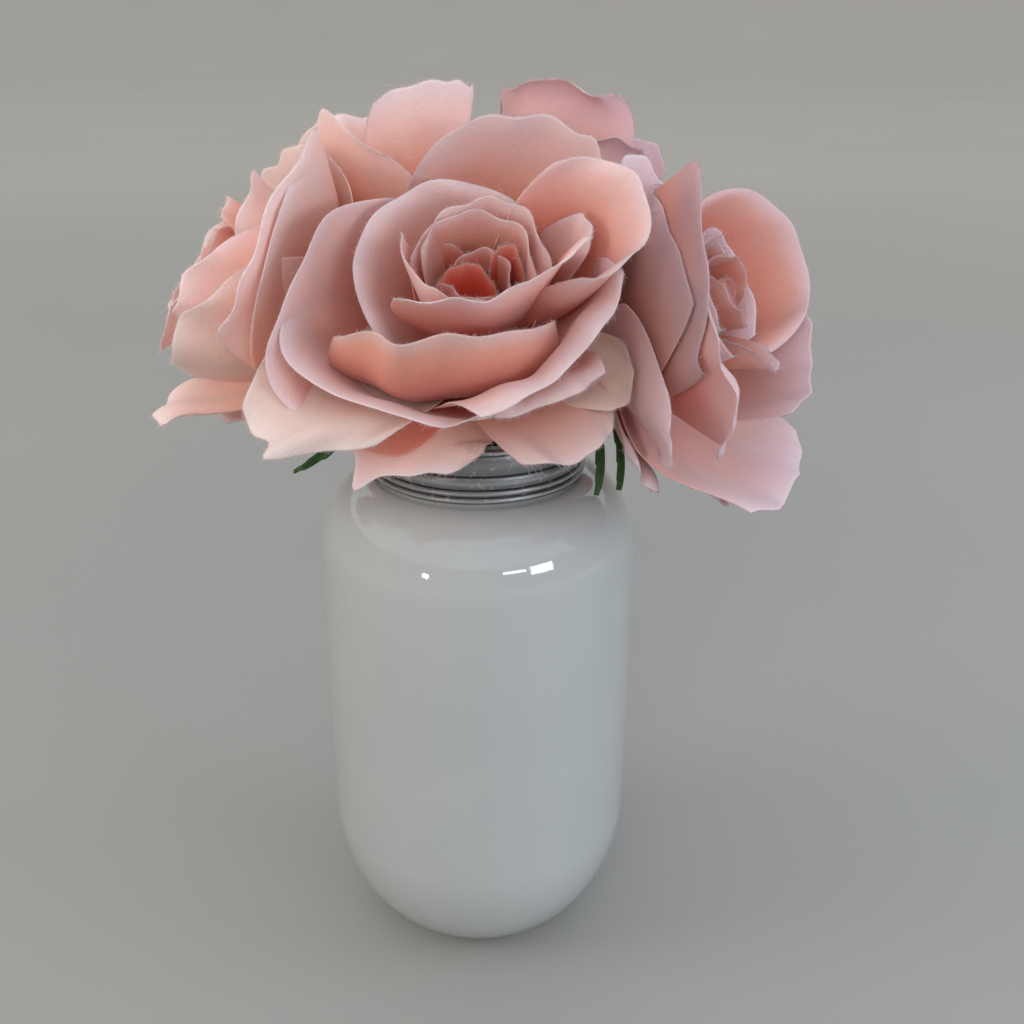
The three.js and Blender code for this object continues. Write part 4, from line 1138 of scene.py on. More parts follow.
@dataclass(frozen=True)
class SepalFinish:
    """Dark green cloth with a paler midrib and darker patches.

    Attributes:
        leaf: The cloth's green.
        rib: Colour of the midrib.
        dark: Colour of its patches.
        pitch: Width of two threads, in centimetres.
    """

    leaf: Colour = linear(52, 84, 40)
    rib: Colour = linear(96, 122, 62)
    dark: Colour = linear(34, 58, 30)
    pitch: float = 0.045

    def dress(self, workshop: Workshop) -> bpy.types.Material:
        """Builds the material.

        Args:
            workshop: The shared effects.

        Returns:
            The sepals' material.
        """
        material, wire = blank_material("sepal_cloth")
        cloth = wire.place("ShaderNodeUVMap", uv_map="cloth").outputs[0]
        weave = wire.place("ShaderNodeGroup", {"Cloth": cloth, "Pitch": self.pitch}, node_tree=workshop.weave)
        patch = wire.noise(160.0, 3.0, 0.6)
        green = wire.blend(wire.times(wire.mark("rib"), 0.7), self.leaf, self.rib)
        green = wire.blend(wire.remap(patch, 0.35, 0.7), green, self.dark)
        green = wire.shade(green, wire.remap(weave.outputs["Height"], 0.1, 0.6, 0.7, 1.1))
        threads = wire.times(weave.outputs["Height"], 0.3)
        body = wire.place("ShaderNodeBsdfPrincipled", {
            "Base Color": green, "Roughness": wire.remap(patch, 0.3, 0.7, 0.5, 0.75),
            "Normal": wire.bump(wire.math("MULTIPLY_ADD", wire.mark("rib"), 0.8, threads), 0.5, 0.0004),
            "Specular IOR Level": 0.3,
        })
        wire.cover(body)
        return material


@dataclass(frozen=True)
class StemFinish:
    """Green moulded plastic with long faint streaks.

    Attributes:
        green: Its colour.
        shadow: Colour of its darker streaks.
    """

    green: Colour = linear(78, 108, 58)
    shadow: Colour = linear(48, 72, 38)

    def dress(self) -> bpy.types.Material:
        """Builds the material: streaks of noise drawn out along the height."""
        material, wire = blank_material("stem_plastic")
        streak = wire.noise(1.0, 2.0, 0.5, wire.stretch(wire.where(), (900.0, 900.0, 60.0)))
        body = wire.place("ShaderNodeBsdfPrincipled", {
            "Base Color": wire.blend(wire.remap(streak, 0.35, 0.65), self.shadow, self.green),
            "Roughness": wire.remap(streak, 0.3, 0.7, 0.62, 0.45),
            "Normal": wire.bump(streak, 0.4, 0.0003),
        })
        wire.cover(body)
        return material


@dataclass(frozen=True)
class PaintFinish:
    """Glossy white paint on glass, faintly uneven, with a few specks.

    Attributes:
        white: The paint.
        shadow: Where it is thin.
        speck: Colour of its specks.
    """

    white: Colour = linear(166, 169, 169)
    shadow: Colour = linear(161, 164, 165)
    speck: Colour = linear(150, 142, 130)

    def dress(self, workshop: Workshop) -> bpy.types.Material:
        """Builds the material.

        Args:
            workshop: The shared effects.

        Returns:
            The jar's material.
        """
        material, wire = blank_material("jar_paint")
        dust = wire.place("ShaderNodeGroup", {"Scale": 420.0, "Level": 0.8}, node_tree=workshop.dust)
        thin = wire.noise(14.0, 3.0, 0.5)
        paint = wire.blend(wire.remap(thin, 0.35, 0.65), self.shadow, self.white)
        paint = wire.blend(wire.times(dust.outputs["Specks"], 0.6), paint, self.speck)
        gloss = wire.math("MULTIPLY_ADD", dust.outputs["Cloud"], 0.05, 0.05)
        gloss = wire.math("ADD", gloss, wire.times(dust.outputs["Specks"], 0.3))
        height = wire.math("ADD", wire.noise(46.0, 1.0, 0.4), wire.times(dust.outputs["Specks"], 0.4))
        body = wire.place("ShaderNodeBsdfPrincipled", {
            "Base Color": paint, "Roughness": gloss, "Normal": wire.bump(height, 0.12, 0.0006),
            "Coat Weight": 0.8, "Coat Roughness": 0.04,
        })
        wire.cover(body)
        return material


@dataclass(frozen=True)
class BandFinish:
    """Grey metal, turned, with painted shade in its grooves, and brighter on its beads with wear and a
    painted highlight.

    Attributes:
        metal: The sheet's colour.
        wear_and_highlight: Colour on the beads' crests and the lip: wear and a painted highlight.
        dark: Colour in the grooves, as painted shade.
        dull: Colour between the turning marks.
        dusty: Colour of its specks.
    """

    metal: Colour = linear(138, 139, 141)
    wear_and_highlight: Colour = linear(196, 196, 196)
    dark: Colour = linear(34, 34, 36)
    dull: Colour = linear(116, 117, 120)
    dusty: Colour = linear(190, 186, 178)

    def dress(self, workshop: Workshop) -> bpy.types.Material:
        """Builds the material.

        Args:
            workshop: The shared effects.

        Returns:
            The band's material.
        """
        material, wire = blank_material("band_metal")
        dust = wire.place("ShaderNodeGroup", {"Scale": 520.0, "Level": 0.66}, node_tree=workshop.dust)
        turned = wire.noise(1.0, 3.0, 0.6, wire.stretch(wire.where(), (28.0, 28.0, 5200.0)))
        metal = wire.blend(wire.remap(turned, 0.3, 0.7), self.metal, self.dull)
        # Painted highlight and wear on the beads' crests and the lip.
        metal = wire.blend(wire.times(wire.mark("crest"), 0.75), metal, self.wear_and_highlight)
        # Painted shade in the grooves.
        metal = wire.blend(wire.mark("groove"), metal, self.dark)
        metal = wire.blend(wire.times(dust.outputs["Specks"], 0.4), metal, self.dusty)
        grime = wire.times(wire.mark("groove"), 0.3)
        rough = wire.math("ADD", wire.remap(turned, 0.3, 0.7, 0.26, 0.42), grime)
        body = wire.place("ShaderNodeBsdfPrincipled", {
            "Base Color": metal, "Metallic": 0.85, "Roughness": rough,
            "Normal": wire.bump(turned, 0.25, 0.0002),
        })
        wire.cover(body)
        return material


@dataclass(frozen=True)
class FloorFinish:
    """Plain pale paper, barely uneven, with painted light that makes it paler far away.

    Attributes:
        paper: Its colour.
        far_painted_light: Its colour two metres away and beyond, with painted light.
    """

    paper: Colour = linear(154, 152, 149)
    far_painted_light: Colour = linear(187, 181, 171)

    def dress(self) -> bpy.types.Material:
        """Builds the material: a broad and a fine noise, and painted light that grows with the distance."""
        material, wire = blank_material("pale_floor")
        distance = wire.place("ShaderNodeVectorMath", {0: wire.where()}, operation="LENGTH").outputs["Value"]
        # Painted light: the paper turns paler far away.
        paper = wire.blend(wire.remap(distance, 0.3, 2.0), self.paper, self.far_painted_light)
        body = wire.place("ShaderNodeBsdfPrincipled", {
            "Base Color": wire.shade(paper, wire.remap(wire.noise(3.0, 3.0, 0.5), 0.3, 0.7, 1.0, 0.96)),
            "Roughness": 0.6, "Normal": wire.bump(wire.noise(900.0), 0.1, 0.0005), "Specular IOR Level": 0.3,
        })
        wire.cover(body)
        return material


# ---------------------------------------------------------------- the pieces


@dataclass
class Bloom:
    """The petals of one rose, as thin closed sheets of cloth.

    Attributes:
        bunch: All the roses.
        rose: This one.
        across: Points across a petal.
        along: Points along it.
        thickness: Thickness of the cloth.
        heart_layers: Petals that count as the heart.
        outer_layers: Petals that count as the outside.
        curve_steps: Steps in which a middle line is added up.
        widest: Where a petal is widest, as a share of its length.
        taper: How much narrower its rim is, as a share of the width.
        tip_width: Width of a pointed tip across the rim.
    """

    bunch: Bunch
    rose: Rose
    across: int = 33
    along: int = 31
    thickness: float = 0.34
    heart_layers: float = 7.0
    outer_layers: float = 5.0
    curve_steps: int = 120
    widest: float = 0.62
    taper: float = 0.12
    tip_width: float = 0.14

    def curve(self, petal: Petal, v: np.ndarray) -> tuple[np.ndarray, np.ndarray, np.ndarray]:
        """A petal's middle line.

        Its lean is a quadratic of three values plus the rim's curl. The lean's sine and cosine are
        added up along the length.

        Args:
            petal: The petal.
            v: Places along it, from 0 to 1.

        Returns:
            How far out, how far up, and the lean in radians, at each place.
        """
        s = np.linspace(0.0, 1.0, self.curve_steps + 1)
        foot, middle, rim = petal.lean
        lean = (1 - s) ** 2 * foot + 2 * s * (1 - s) * middle + s**2 * rim
        rolled = np.clip((s - petal.curl_from) / (1 - petal.curl_from), 0, 1) ** 1.6
        lean = np.radians(lean + petal.curl * rolled)
        step = petal.length / self.curve_steps
        out = np.concatenate([[0.0], np.cumsum((np.sin(lean[1:]) + np.sin(lean[:-1])) / 2.0)]) * step
        up = np.concatenate([[0.0], np.cumsum((np.cos(lean[1:]) + np.cos(lean[:-1])) / 2.0)]) * step
        return np.interp(v, s, out), np.interp(v, s, up), np.interp(v, s, lean)

    def petal_grid(
        self, petal: Petal, u: np.ndarray, v: np.ndarray, seed: int,
    ) -> tuple[np.ndarray, np.ndarray]:
        """The middle line swept across.

        Each level is an arc whose radius is the wrap times the distance from the axis, lifted by
        waves, folded sides and small creases.

        Args:
            petal: The petal.
            u: Places across, from -1 to 1.
            v: Places along, from 0 to 1.
            seed: Chooses its creases.

        Returns:
            Points in the bloom's axes, and the flat cloth coordinates in centimetres.
        """
        dice = np.random.default_rng(seed)
        out, up, lean = (a[None, :] for a in self.curve(petal, v))
        u, v = u[:, None], v[None, :]
        share = petal.foot + (1 - petal.foot) * np.sin(math.pi / 2 * np.clip(v / self.widest, 0, 1))
        share = share - self.taper * np.clip((v - self.widest) / (1 - self.widest), 0, 1) ** 2
        reach = 1 - petal.corner * np.abs(u) ** 2.6
        reach = reach + petal.point * np.exp(-(((u - petal.point_at) / self.tip_width) ** 2))
        uneven = 0.010 * np.sin(5.3 * u + dice.uniform(0, 6)) + 0.007 * np.sin(13 * u + dice.uniform(0, 6))
        reach = reach + uneven * min(petal.width / 40.0, 1.0)
        bend = np.maximum(petal.wrap * (petal.start + out), 1.5)
        angle = np.clip(0.5 * petal.width * share * u / bend, -2.7, 2.7)
        fade = smooth(v / 0.5)
        lift = petal.wave * v * np.sin(math.pi * petal.waves * u + petal.phase)
        lift = lift - petal.side * np.clip((np.abs(u) - 0.55) / 0.45, 0, 1) ** 2
        size = min(petal.width / 60.0, 1.0)
        crease = np.sin((3.1 + dice.uniform(0, 1.5)) * u * 3 + 1.6 * v + dice.uniform(0, 6)) * v**2
        frill = np.sin((9 + dice.uniform(0, 4)) * u + dice.uniform(0, 6)) * v**6
        lift = fade * (lift + size * (0.5 * crease + 0.7 * frill))
        radius = bend + petal.spiral * u * fade - np.cos(lean) * lift
        x = petal.start + reach * out - bend + radius * np.cos(angle)
        y = radius * np.sin(angle)
        turn, seated = math.radians(petal.turn), smooth(v / 0.6)
        points = np.stack([
            x * math.cos(turn) - y * math.sin(turn) + petal.seat[0] * seated,
            x * math.sin(turn) + y * math.cos(turn) + petal.seat[1] * seated,
            petal.rise + reach * up + np.sin(lean) * lift,
        ], -1)
        flat = np.stack([0.05 * petal.width * share * u + 0 * v, 0.1 * petal.length * v * reach], -1)
        return points, flat

    def petal_surface(self, index: int) -> tuple[np.ndarray, np.ndarray]:
        """One petal in the object's frame, after it has yielded to its neighbours.

        Args:
            index: The petal's place, from the heart outwards.

        Returns:
            Its middle surface and its cloth coordinates.
        """
        petal = self.rose.petals[index]
        u = np.sin(np.linspace(-1.0, 1.0, self.across) * math.pi / 2 * 0.86) / math.sin(math.pi / 2 * 0.86)
        v = 1.0 - (1.0 - np.linspace(0.0, 1.0, self.along)) ** 1.25
        seed = 100 * self.bunch.roses.index(self.rose) + index
        local, flat = self.petal_grid(petal, u, v, seed)
        points = self.bunch.press(self.rose, self.rose.place(local), len(self.rose.petals) - 1 - index)
        return self.bunch.clear(self.rose, points), flat

    def draft(self) -> tuple[MeshDraft, list[np.ndarray]]:
        """All petals as one mesh draft, and their middle surfaces for the frayed threads.

        Returns:
            The draft and the surfaces.
        """
        draft = MeshDraft()
        surfaces = []
        dice = np.random.default_rng(7)
        last = len(self.rose.petals) - 1
        v = np.linspace(0.0, 1.0, self.along)[None, :] * np.ones((self.across, 1))
        for index, petal in enumerate(self.rose.petals):
            middle, flat = self.petal_surface(index)
            outer = max(0.0, 1.0 - (last - index) / self.outer_layers)
            marks = {
                "along": v, "tone": np.full(v.shape, dice.uniform(-1, 1)),
                "outer": np.full(v.shape, outer * dice.uniform(0.5, 1.0)),
                # Heart petals, and petals that lie in shade, carry painted shade through this mark.
                "heart": np.full(v.shape, max(0.0, 1.0 - index / self.heart_layers) + petal.dye_and_shade),
            }
            draft.sheet(middle, self.thickness * (1.0 - 0.35 * v**4), flat, marks)
            surfaces.append(middle)
        return draft, surfaces

    def build(self, workshop: Workshop) -> tuple[bpy.types.Object, list[np.ndarray]]:
        """Makes the bloom.

        Args:
            workshop: The shared effects.

        Returns:
            The bloom's object and its petals' middle surfaces.
        """
        draft, surfaces = self.draft()
        finish = PetalFinish(self.rose.tint).dress(workshop)
        name = f"rose_{self.rose.name}_petals"
        return draft.build(name, finish, f"rose_{self.rose.name}_bloom", "petal"), surfaces


@dataclass
class Frays:
    """Loose threads and fuzz along the petals' rims.

    Attributes:
        rose: The rose they belong to.
        surfaces: Its petals' middle surfaces.
        per_petal: Threads on each petal.
        radius: Radius of a thread.
        short: Shortest and longest of the usual threads.
        loose: Shortest and longest of the loose ones.
        loose_share: How many are loose.
        corner: Points of a side edge, next to the rim, that fray too.
        steps: Points along a thread.
    """

    rose: Rose
    surfaces: list[np.ndarray]
    per_petal: int = 360
    radius: float = 0.05
    short: tuple[float, float] = (0.3, 1.0)
    loose: tuple[float, float] = (1.8, 4.0)
    loose_share: float = 0.02
    corner: int = 9
    steps: int = 4

    def build(self, material: bpy.types.Material) -> bpy.types.Object:
        """Each thread leaves the rim along the cloth, then drifts sideways and droops.

        Its points are start + length * (s * heading + 0.6 * s squared * drift).

        Args:
            material: What the threads are dressed in.

        Returns:
            The threads' object.
        """
        dice = np.random.default_rng(len(self.rose.name) * 11)
        size, end = self.per_petal, slice(-self.corner, None)
        along = np.linspace(0.0, 1.0, self.steps)
        paths, radii = [], []
        for surface in self.surfaces:
            normals = grid_normals(surface)
            rim = np.concatenate([surface[0, end], surface[:, -1], surface[-1, end][::-1]])
            beyond = np.concatenate([
                unit(surface[0, end] - surface[2, end]), unit(surface[:, -1] - surface[:, -3]),
                unit(surface[-1, end] - surface[-3, end])[::-1],
            ])
            facing = np.concatenate([normals[0, end], normals[:, -1], normals[-1, end][::-1]])
            where = dice.uniform(0, len(rim) - 1.001, size)
            low, share = where.astype(int), (where % 1)[:, None]
            start = rim[low] * (1 - share) + rim[low + 1] * share
            ahead, face = beyond[low], facing[low]
            loose = dice.random(size) < self.loose_share
            length = np.where(loose, dice.uniform(*self.loose, size), dice.uniform(*self.short, size))
            heading = unit(ahead + 0.4 * dice.normal(size=(size, 3)))
            drift = 0.5 * face * dice.normal(size=(size, 1)) + 0.4 * dice.normal(size=(size, 3))
            drift[:, 2] -= 0.25
            s = along[None, :, None]
            course = s * heading[:, None] + s**2 * drift[:, None] * 0.6
            paths.append(start[:, None] + length[:, None, None] * course)
            radii.append(self.radius * (1.0 - 0.6 * along)[None, :] * np.ones((size, 1)))
        draft = MeshDraft()
        path, radius = np.concatenate(paths), np.concatenate(radii)
        full, none = np.ones(radius.shape), np.zeros(radius.shape)
        draft.tubes(path, radius, 3, {"along": full, "tone": full, "outer": none, "heart": none})
        return draft.build(f"rose_{self.rose.name}_frays", material, None, "petal")


@dataclass
class Calyx:
    """The green cup under a bloom, with its five sepals.

    Attributes:
        rose: The rose it belongs to.
        top: Height of its top along the bloom's axis.
        bottom: Height of its bottom.
        radius: Radius of the cup.
        foot_radius: Its radius at its foot.
        ribs: How many ribs the cup has.
        thickness: Thickness of a sepal.
        short_width: Width of a short sepal.
        long_width: Width of a long one.
    """

    rose: Rose
    top: float = -4.5
    bottom: float = -16.0
    radius: float = 6.2
    foot_radius: float = 2.6
    ribs: int = 5
    thickness: float = 0.5
    short_width: float = 5.0
    long_width: float = 6.0

    def cup(self, draft: MeshDraft) -> None:
        """The cup: five narrow ribs round a profile that swells from the stem to the bloom.

        Args:
            draft: The mesh to add to.
        """
        height = np.linspace(0.0, 1.0, 22)
        swell = (self.radius - self.foot_radius) * smooth((height - 0.12) / 0.75)
        radius = self.foot_radius + swell + 0.25 * np.sin(math.pi * height)
        radius = np.where(height > 0.93, radius - 8.0 * (height - 0.93), radius)
        axis = self.bottom + (self.top - self.bottom) * height
        profile = np.stack([np.r_[0.0, radius, 0.0], np.r_[axis[0], axis, axis[-1]]], -1)
        ring = MeshDraft()
        ring.lathe(profile, 40, {"rib": 0.3 + 0 * profile[:, 0]})
        local = ring.points[0]
        angle = np.arctan2(local[:, 1], local[:, 0])
        local = local * np.stack([1 + 0.03 * np.cos(self.ribs * angle)] * 2 + [np.ones(len(local))], -1)
        marks = {"rib": ring.marks["rib"][0]}
        cloth = np.stack([angle * 0.6, local[:, 2] * 0.1], -1)
        draft.store(self.rose.place(local), ring.faces, cloth, marks)

    def sepal(self, draft: MeshDraft, sepal: Sepal, seed: int) -> None:
        """A sepal: a blade along a quadratic curve, with saw teeth on both edges and a raised midrib.

        Args:
            draft: The mesh to add to.
            sepal: Its plan.
            seed: Chooses its teeth.
        """
        dice = np.random.default_rng(seed)
        turn = math.radians(sepal.turn)

        def local(radius: float, height: float) -> np.ndarray:
            """A point beside the bloom's axis, in the object's frame."""
            return self.rose.place(np.array([radius * math.cos(turn), radius * math.sin(turn), height]))

        root = local(self.radius * 0.6, self.top - 3.6)
        reach = sepal.reach
        by = np.array(sepal.by) if sepal.by else local(4 + 8.5 * reach, self.top - 3.2)
        tip = np.array(sepal.tip) if sepal.tip else local(4 + 10.5 * reach, self.top - 3 - 10 * reach)
        s = np.linspace(0.0, 1.0, 49)[:, None]
        spine = (1 - s) ** 2 * root + 2 * s * (1 - s) * by + s**2 * tip
        ahead = unit(np.gradient(spine, axis=0))
        if sepal.tip:
            facing = unit(np.array([by[0], by[1], 0.0]))
        else:
            facing = self.rose.axes()[2]
        side = unit(np.cross(ahead, facing))
        over = np.cross(side, ahead)
        width = self.long_width if sepal.tip else self.short_width
        body = 0.16 + 0.84 * np.sin(math.pi * (0.12 + 0.86 * s)) ** 0.8
        q = np.linspace(-1.0, 1.0, 13)[None, :]
        edge = np.where(q < 0, dice.uniform(0.2, 0.4), dice.uniform(0.5, 0.8))
        saw = (s * 7.0 + edge) % 1.0
        tooth = 1.0 + 0.3 * (saw - 0.5) * np.abs(q) ** 3 * smooth(s / 0.2)
        reach_out = 0.5 * width * body * tooth * q
        fold = -0.16 * width * body * (np.abs(q) ** 1.5)
        fold = fold + 0.5 * np.sin(7 * s + q * 1.5 + edge * 6) * np.abs(q) * s
        grid = spine[:, None] + side[:, None] * reach_out[..., None] + over[:, None] * fold[..., None]
        cloth = np.stack([0.1 * reach_out, 0.1 * 25 * s + 0 * q], -1)
        rib = np.exp(-((q / 0.12) ** 2)) + 0 * s
        draft.sheet(grid.transpose(1, 0, 2), self.thickness, cloth.transpose(1, 0, 2), {"rib": rib.T})

    def build(self, material: bpy.types.Material) -> bpy.types.Object:
        """Makes the calyx.

        Args:
            material: The green cloth.

        Returns:
            The calyx's object.
        """
        draft = MeshDraft()
        self.cup(draft)
        for index, sepal in enumerate(self.rose.sepals):
            self.sepal(draft, sepal, 31 * index + len(self.rose.name))
        name = f"rose_{self.rose.name}"
        return draft.build(f"{name}_sepals", material, f"{name}_calyx", "calyx")


@dataclass
class Stem:
    """A bent plastic stem from the jar's floor to the calyx.

    Attributes:
        rose: The rose it carries.
        radius: Its radius.
        gap: Its gap below the calyx.
        cup_foot: Height of the calyx's foot along the bloom's axis.
        straight: Length of its straight end.
    """

    rose: Rose
    radius: float = 1.95
    gap: float = 0.3
    cup_foot: float = -16.0
    straight: float = 4.0

    def build(self, material: bpy.types.Material) -> bpy.types.Object:
        """A tube along a curve through the stem's points.

        The curve is made of cubics, each with the tangents of a centripetal spline.

        Args:
            material: The green plastic.

        Returns:
            The stem's object.
        """
        neck = self.rose.place(np.array([0.0, 0.0, self.cup_foot - self.straight]))
        end = self.rose.place(np.array([0.0, 0.0, self.cup_foot - self.gap]))
        knots = np.array([*self.rose.stem, neck, end], dtype=float)
        knots = np.concatenate([2 * knots[:1] - knots[1:2], knots, 2 * knots[-1:] - knots[-2:-1]])
        parts = []
        for k in range(1, len(knots) - 2):
            before, first, second, after = knots[k - 1 : k + 3]
            t0, t1, t2 = (
                max(np.linalg.norm(b - a) ** 0.5, 1e-4)
                for a, b in ((before, first), (first, second), (second, after))
            )
            leave = (first - before) / t0 - (second - before) / (t0 + t1) + (second - first) / t1
            arrive = (second - first) / t1 - (after - first) / (t1 + t2) + (after - second) / t2
            s = np.linspace(0.0, 1.0, 14, endpoint=k == len(knots) - 3)[:, None]
            parts.append(
                (2 * s**3 - 3 * s**2 + 1) * first + (s**3 - 2 * s**2 + s) * leave * t1
                + (3 * s**2 - 2 * s**3) * second + (s**3 - s**2) * arrive * t1
            )
        path = np.concatenate(parts)[None]
        radius = self.radius * (1.0 + 0.03 * np.sin(np.linspace(0, 60, path.shape[1])))[None]
        draft = MeshDraft()
        draft.tubes(path, radius, 16, {})
        name = f"rose_{self.rose.name}"
        return draft.build(f"{name}_stalk", material, f"{name}_stem", "stem")


@dataclass
class Jar:
    """The painted glass jar: round heel, straight body, round shoulder and a neck under the band.

    Attributes:
        radius: Radius of the body.
        base_radius: Radius of the flat base.
        heel_height: Height at which the heel ends.
        heel_power: Roundness of the heel.
        shoulder_start: Height at which the shoulder starts.
        neck_start: Height at which it ends.
        neck_radius: Radius of the neck.
        lip_top: Height of the lip.
        wall: Thickness of the wall.
        floor: Thickness of the floor.
        around: Steps round the jar.
    """

    radius: float = 47.5
    base_radius: float = 22.0
    heel_height: float = 40.3
    heel_power: float = 1.8
    shoulder_start: float = 131.9
    neck_start: float = 155.2
    neck_radius: float = 29.6
    lip_top: float = 170.2
    wall: float = 3.0
    floor: float = 6.0
    around: int = 160

    def corner(
        self, start: tuple[float, float], end: tuple[float, float], power: float, steps: int, upright: bool,
    ) -> np.ndarray:
        """A rounded corner: one way grows as sin(a)^(2/power), the other as 1 - cos(a)^(2/power).

        Args:
            start: Radius and height at its start.
            end: The same at its end.
            power: Its roundness.
            steps: Steps along it.
            upright: Whether it starts straight up.

        Returns:
            Radius and height pairs.
        """
        angle = np.linspace(0.0, math.pi / 2, steps + 1)
        fast = np.sin(angle) ** (2 / power)
        slow = 1.0 - np.clip(np.cos(angle), 0, 1) ** (2 / power)
        across, rise = (slow, fast) if upright else (fast, slow)
        return np.asarray(start) + np.subtract(end, start) * np.stack([across, rise], -1)

    def profile(self) -> np.ndarray:
        """The closed profile, up the outside and down the inside.

        Returns:
            Radius and height pairs from the axis to the axis.
        """
        inside, neck_inside = self.radius - self.wall, self.neck_radius - self.wall
        heel, shoulder, neck = self.heel_height, self.shoulder_start, self.neck_start
        heights = np.linspace(heel, shoulder, 10)[1:-1]
        return np.concatenate([
            [[0.0, 0.0], [self.base_radius - 2.0, 0.0]],
            self.corner((self.base_radius, 0), (self.radius, heel), self.heel_power, 30, False),
            np.stack([np.full(len(heights), self.radius), heights], -1),
            self.corner((self.radius, shoulder), (self.neck_radius + 1.2, neck - 0.4), 2.0, 26, True),
            [[self.neck_radius + 0.4, neck - 0.1], [self.neck_radius, neck + 0.3]],
            [[self.neck_radius, self.lip_top - 0.9], [self.neck_radius - 0.25, self.lip_top - 0.25]],
            [[self.neck_radius - 0.9, self.lip_top], [neck_inside + 0.6, self.lip_top]],
            [[neck_inside, self.lip_top - 0.8]],
            self.corner((neck_inside, neck - 2), (inside, shoulder - 1), 2.0, 12, False),
            self.corner((inside, heel + 1), (self.base_radius, self.floor), self.heel_power, 16, True),
            [[0.0, self.floor]],
        ])

    def build(self, material: bpy.types.Material) -> bpy.types.Object:
        """Makes the jar.

        Args:
            material: The white paint.

        Returns:
            The jar's object.
        """
        profile = self.profile()
        draft = MeshDraft()
        draft.lathe(profile, self.around, {})
        return draft.build("painted_jar", material, "jar", "jar")


@dataclass
class Band:
    """The grey screw band, with beads and grooves round its lower edge.

    Attributes:
        bottom: Height of its lower edge.
        top: Height of its top.
        radius: Its outer radius.
        bead: How far a bead stands out.
        sheet: Thickness of the sheet.
        mouth_radius: Radius of its mouth.
        grooves: Heights of its grooves above its lower edge.
        swells: How full each bead below a groove is.
        around: Steps round it.
    """

    bottom: float = 155.8
    top: float = 171.4
    radius: float = 31.2
    bead: float = 0.5
    sheet: float = 0.9
    mouth_radius: float = 26.6
    grooves: tuple[float, ...] = (2.05, 4.1, 8.0, 14.3)
    swells: tuple[float, ...] = (1.0, 0.8, 0.45, 0.12)
    around: int = 192

    def build(self, material: bpy.types.Material) -> bpy.types.Object:
        """The outside swells between grooves by the bead times a power of the sine of the place.

        Args:
            material: The grey metal.

        Returns:
            The band's object.
        """
        edges = (0.0, *self.grooves)
        radii, heights, crest, groove = [], [], [], []
        for low, high, swell in zip(edges, self.grooves, self.swells):
            place = np.linspace(0.0, 1.0, 13)
            rise = np.sin(math.pi * np.clip(place, 0.0, 1.0)) ** 0.4
            radii.append(self.radius - 0.25 + (0.25 + self.bead * swell) * rise)
            heights.append(self.bottom + low + (high - low) * (0.02 + 0.96 * place))
            # crest marks where wear and a painted highlight go, groove where painted shade goes.
            crest.append(swell * np.clip((rise - 0.9) / 0.1, 0, 1) ** 2)
            groove.append(np.clip(1.0 - rise / 0.55, 0, 1))
        lip = np.linspace(0.0, math.pi / 2, 7)
        reach = self.top - self.bottom - self.grooves[-1]
        radii.append(self.radius - 0.5 + 0.65 * np.cos(lip))
        heights.append(self.top - reach + reach * np.sin(lip))
        inner = self.radius - self.sheet
        radii.append(np.r_[self.mouth_radius + np.array([0.3, 0.0, 0.0, 0.3]), inner, inner, inner + 0.1])
        heights.append(np.r_[self.top - np.array([0.0, 0.2, 0.5, 0.7, 0.7]), self.bottom + 0.2, self.bottom])
        crest += [0.6 * np.sin(2 * lip) ** 2, np.zeros(7)]
        groove += [np.zeros(7), np.zeros(7)]
        profile = np.stack([np.concatenate(radii), np.concatenate(heights)], -1)
        draft = MeshDraft()
        draft.lathe(profile, self.around, {"crest": np.concatenate(crest), "groove": np.concatenate(groove)})
        return draft.build("screw_band", material, "band", "band")


# ---------------------------------------------------------------- the studio


@dataclass(frozen=True)
class SoftBox:
    """One rectangular lamp.

    Attributes:
        name: Its name.
        place: Where it stands, in metres.
        aim: What it points at, in metres.
        size: Its width and height, in metres.
        power: Its power in watts.
        colour: Its linear colour.
        mirrored: Whether glossy surfaces mirror it.
    """

    name: str
    place: Point
    aim: Point
    size: tuple[float, float]
    power: float
    colour: Colour = (1.0, 1.0, 1.0)
    mirrored: bool = True

    def hang(self) -> None:
        """Puts the lamp in the scene."""
        data = bpy.data.lights.new(self.name, "AREA")
        data.shape = "RECTANGLE"
        data.size, data.size_y = self.size
        data.energy = self.power
        data.color = self.colour
        lamp = bpy.data.objects.new(self.name, data)
        lamp.location = self.place
        lamp.rotation_euler = (Vector(self.aim) - Vector(self.place)).to_track_quat("-Z", "Y").to_euler()
        lamp.visible_glossy = self.mirrored
        bpy.context.scene.collection.objects.link(lamp)


@dataclass(frozen=True)
class Daylight:
    """Soft even daylight from one side.

    Attributes:
        toward: The direction in which the light travels.
        spread: Its angular size, in degrees.
        strength: Its strength in watts per square metre.
        colour: Its linear colour.
    """

    toward: Point = (0.55, 0.1, -0.83)
    spread: float = 50.0
    strength: float = 0.15
    colour: Colour = (1.0, 0.955, 0.9)

    def shine(self) -> None:
        """Puts the light in the scene."""
        data = bpy.data.lights.new("daylight", "SUN")
        data.angle = math.radians(self.spread)
        data.energy = self.strength
        data.color = self.colour
        lamp = bpy.data.objects.new("daylight", data)
        lamp.rotation_euler = Vector(self.toward).to_track_quat("-Z", "Y").to_euler()
        lamp.visible_glossy = False
        bpy.context.scene.collection.objects.link(lamp)


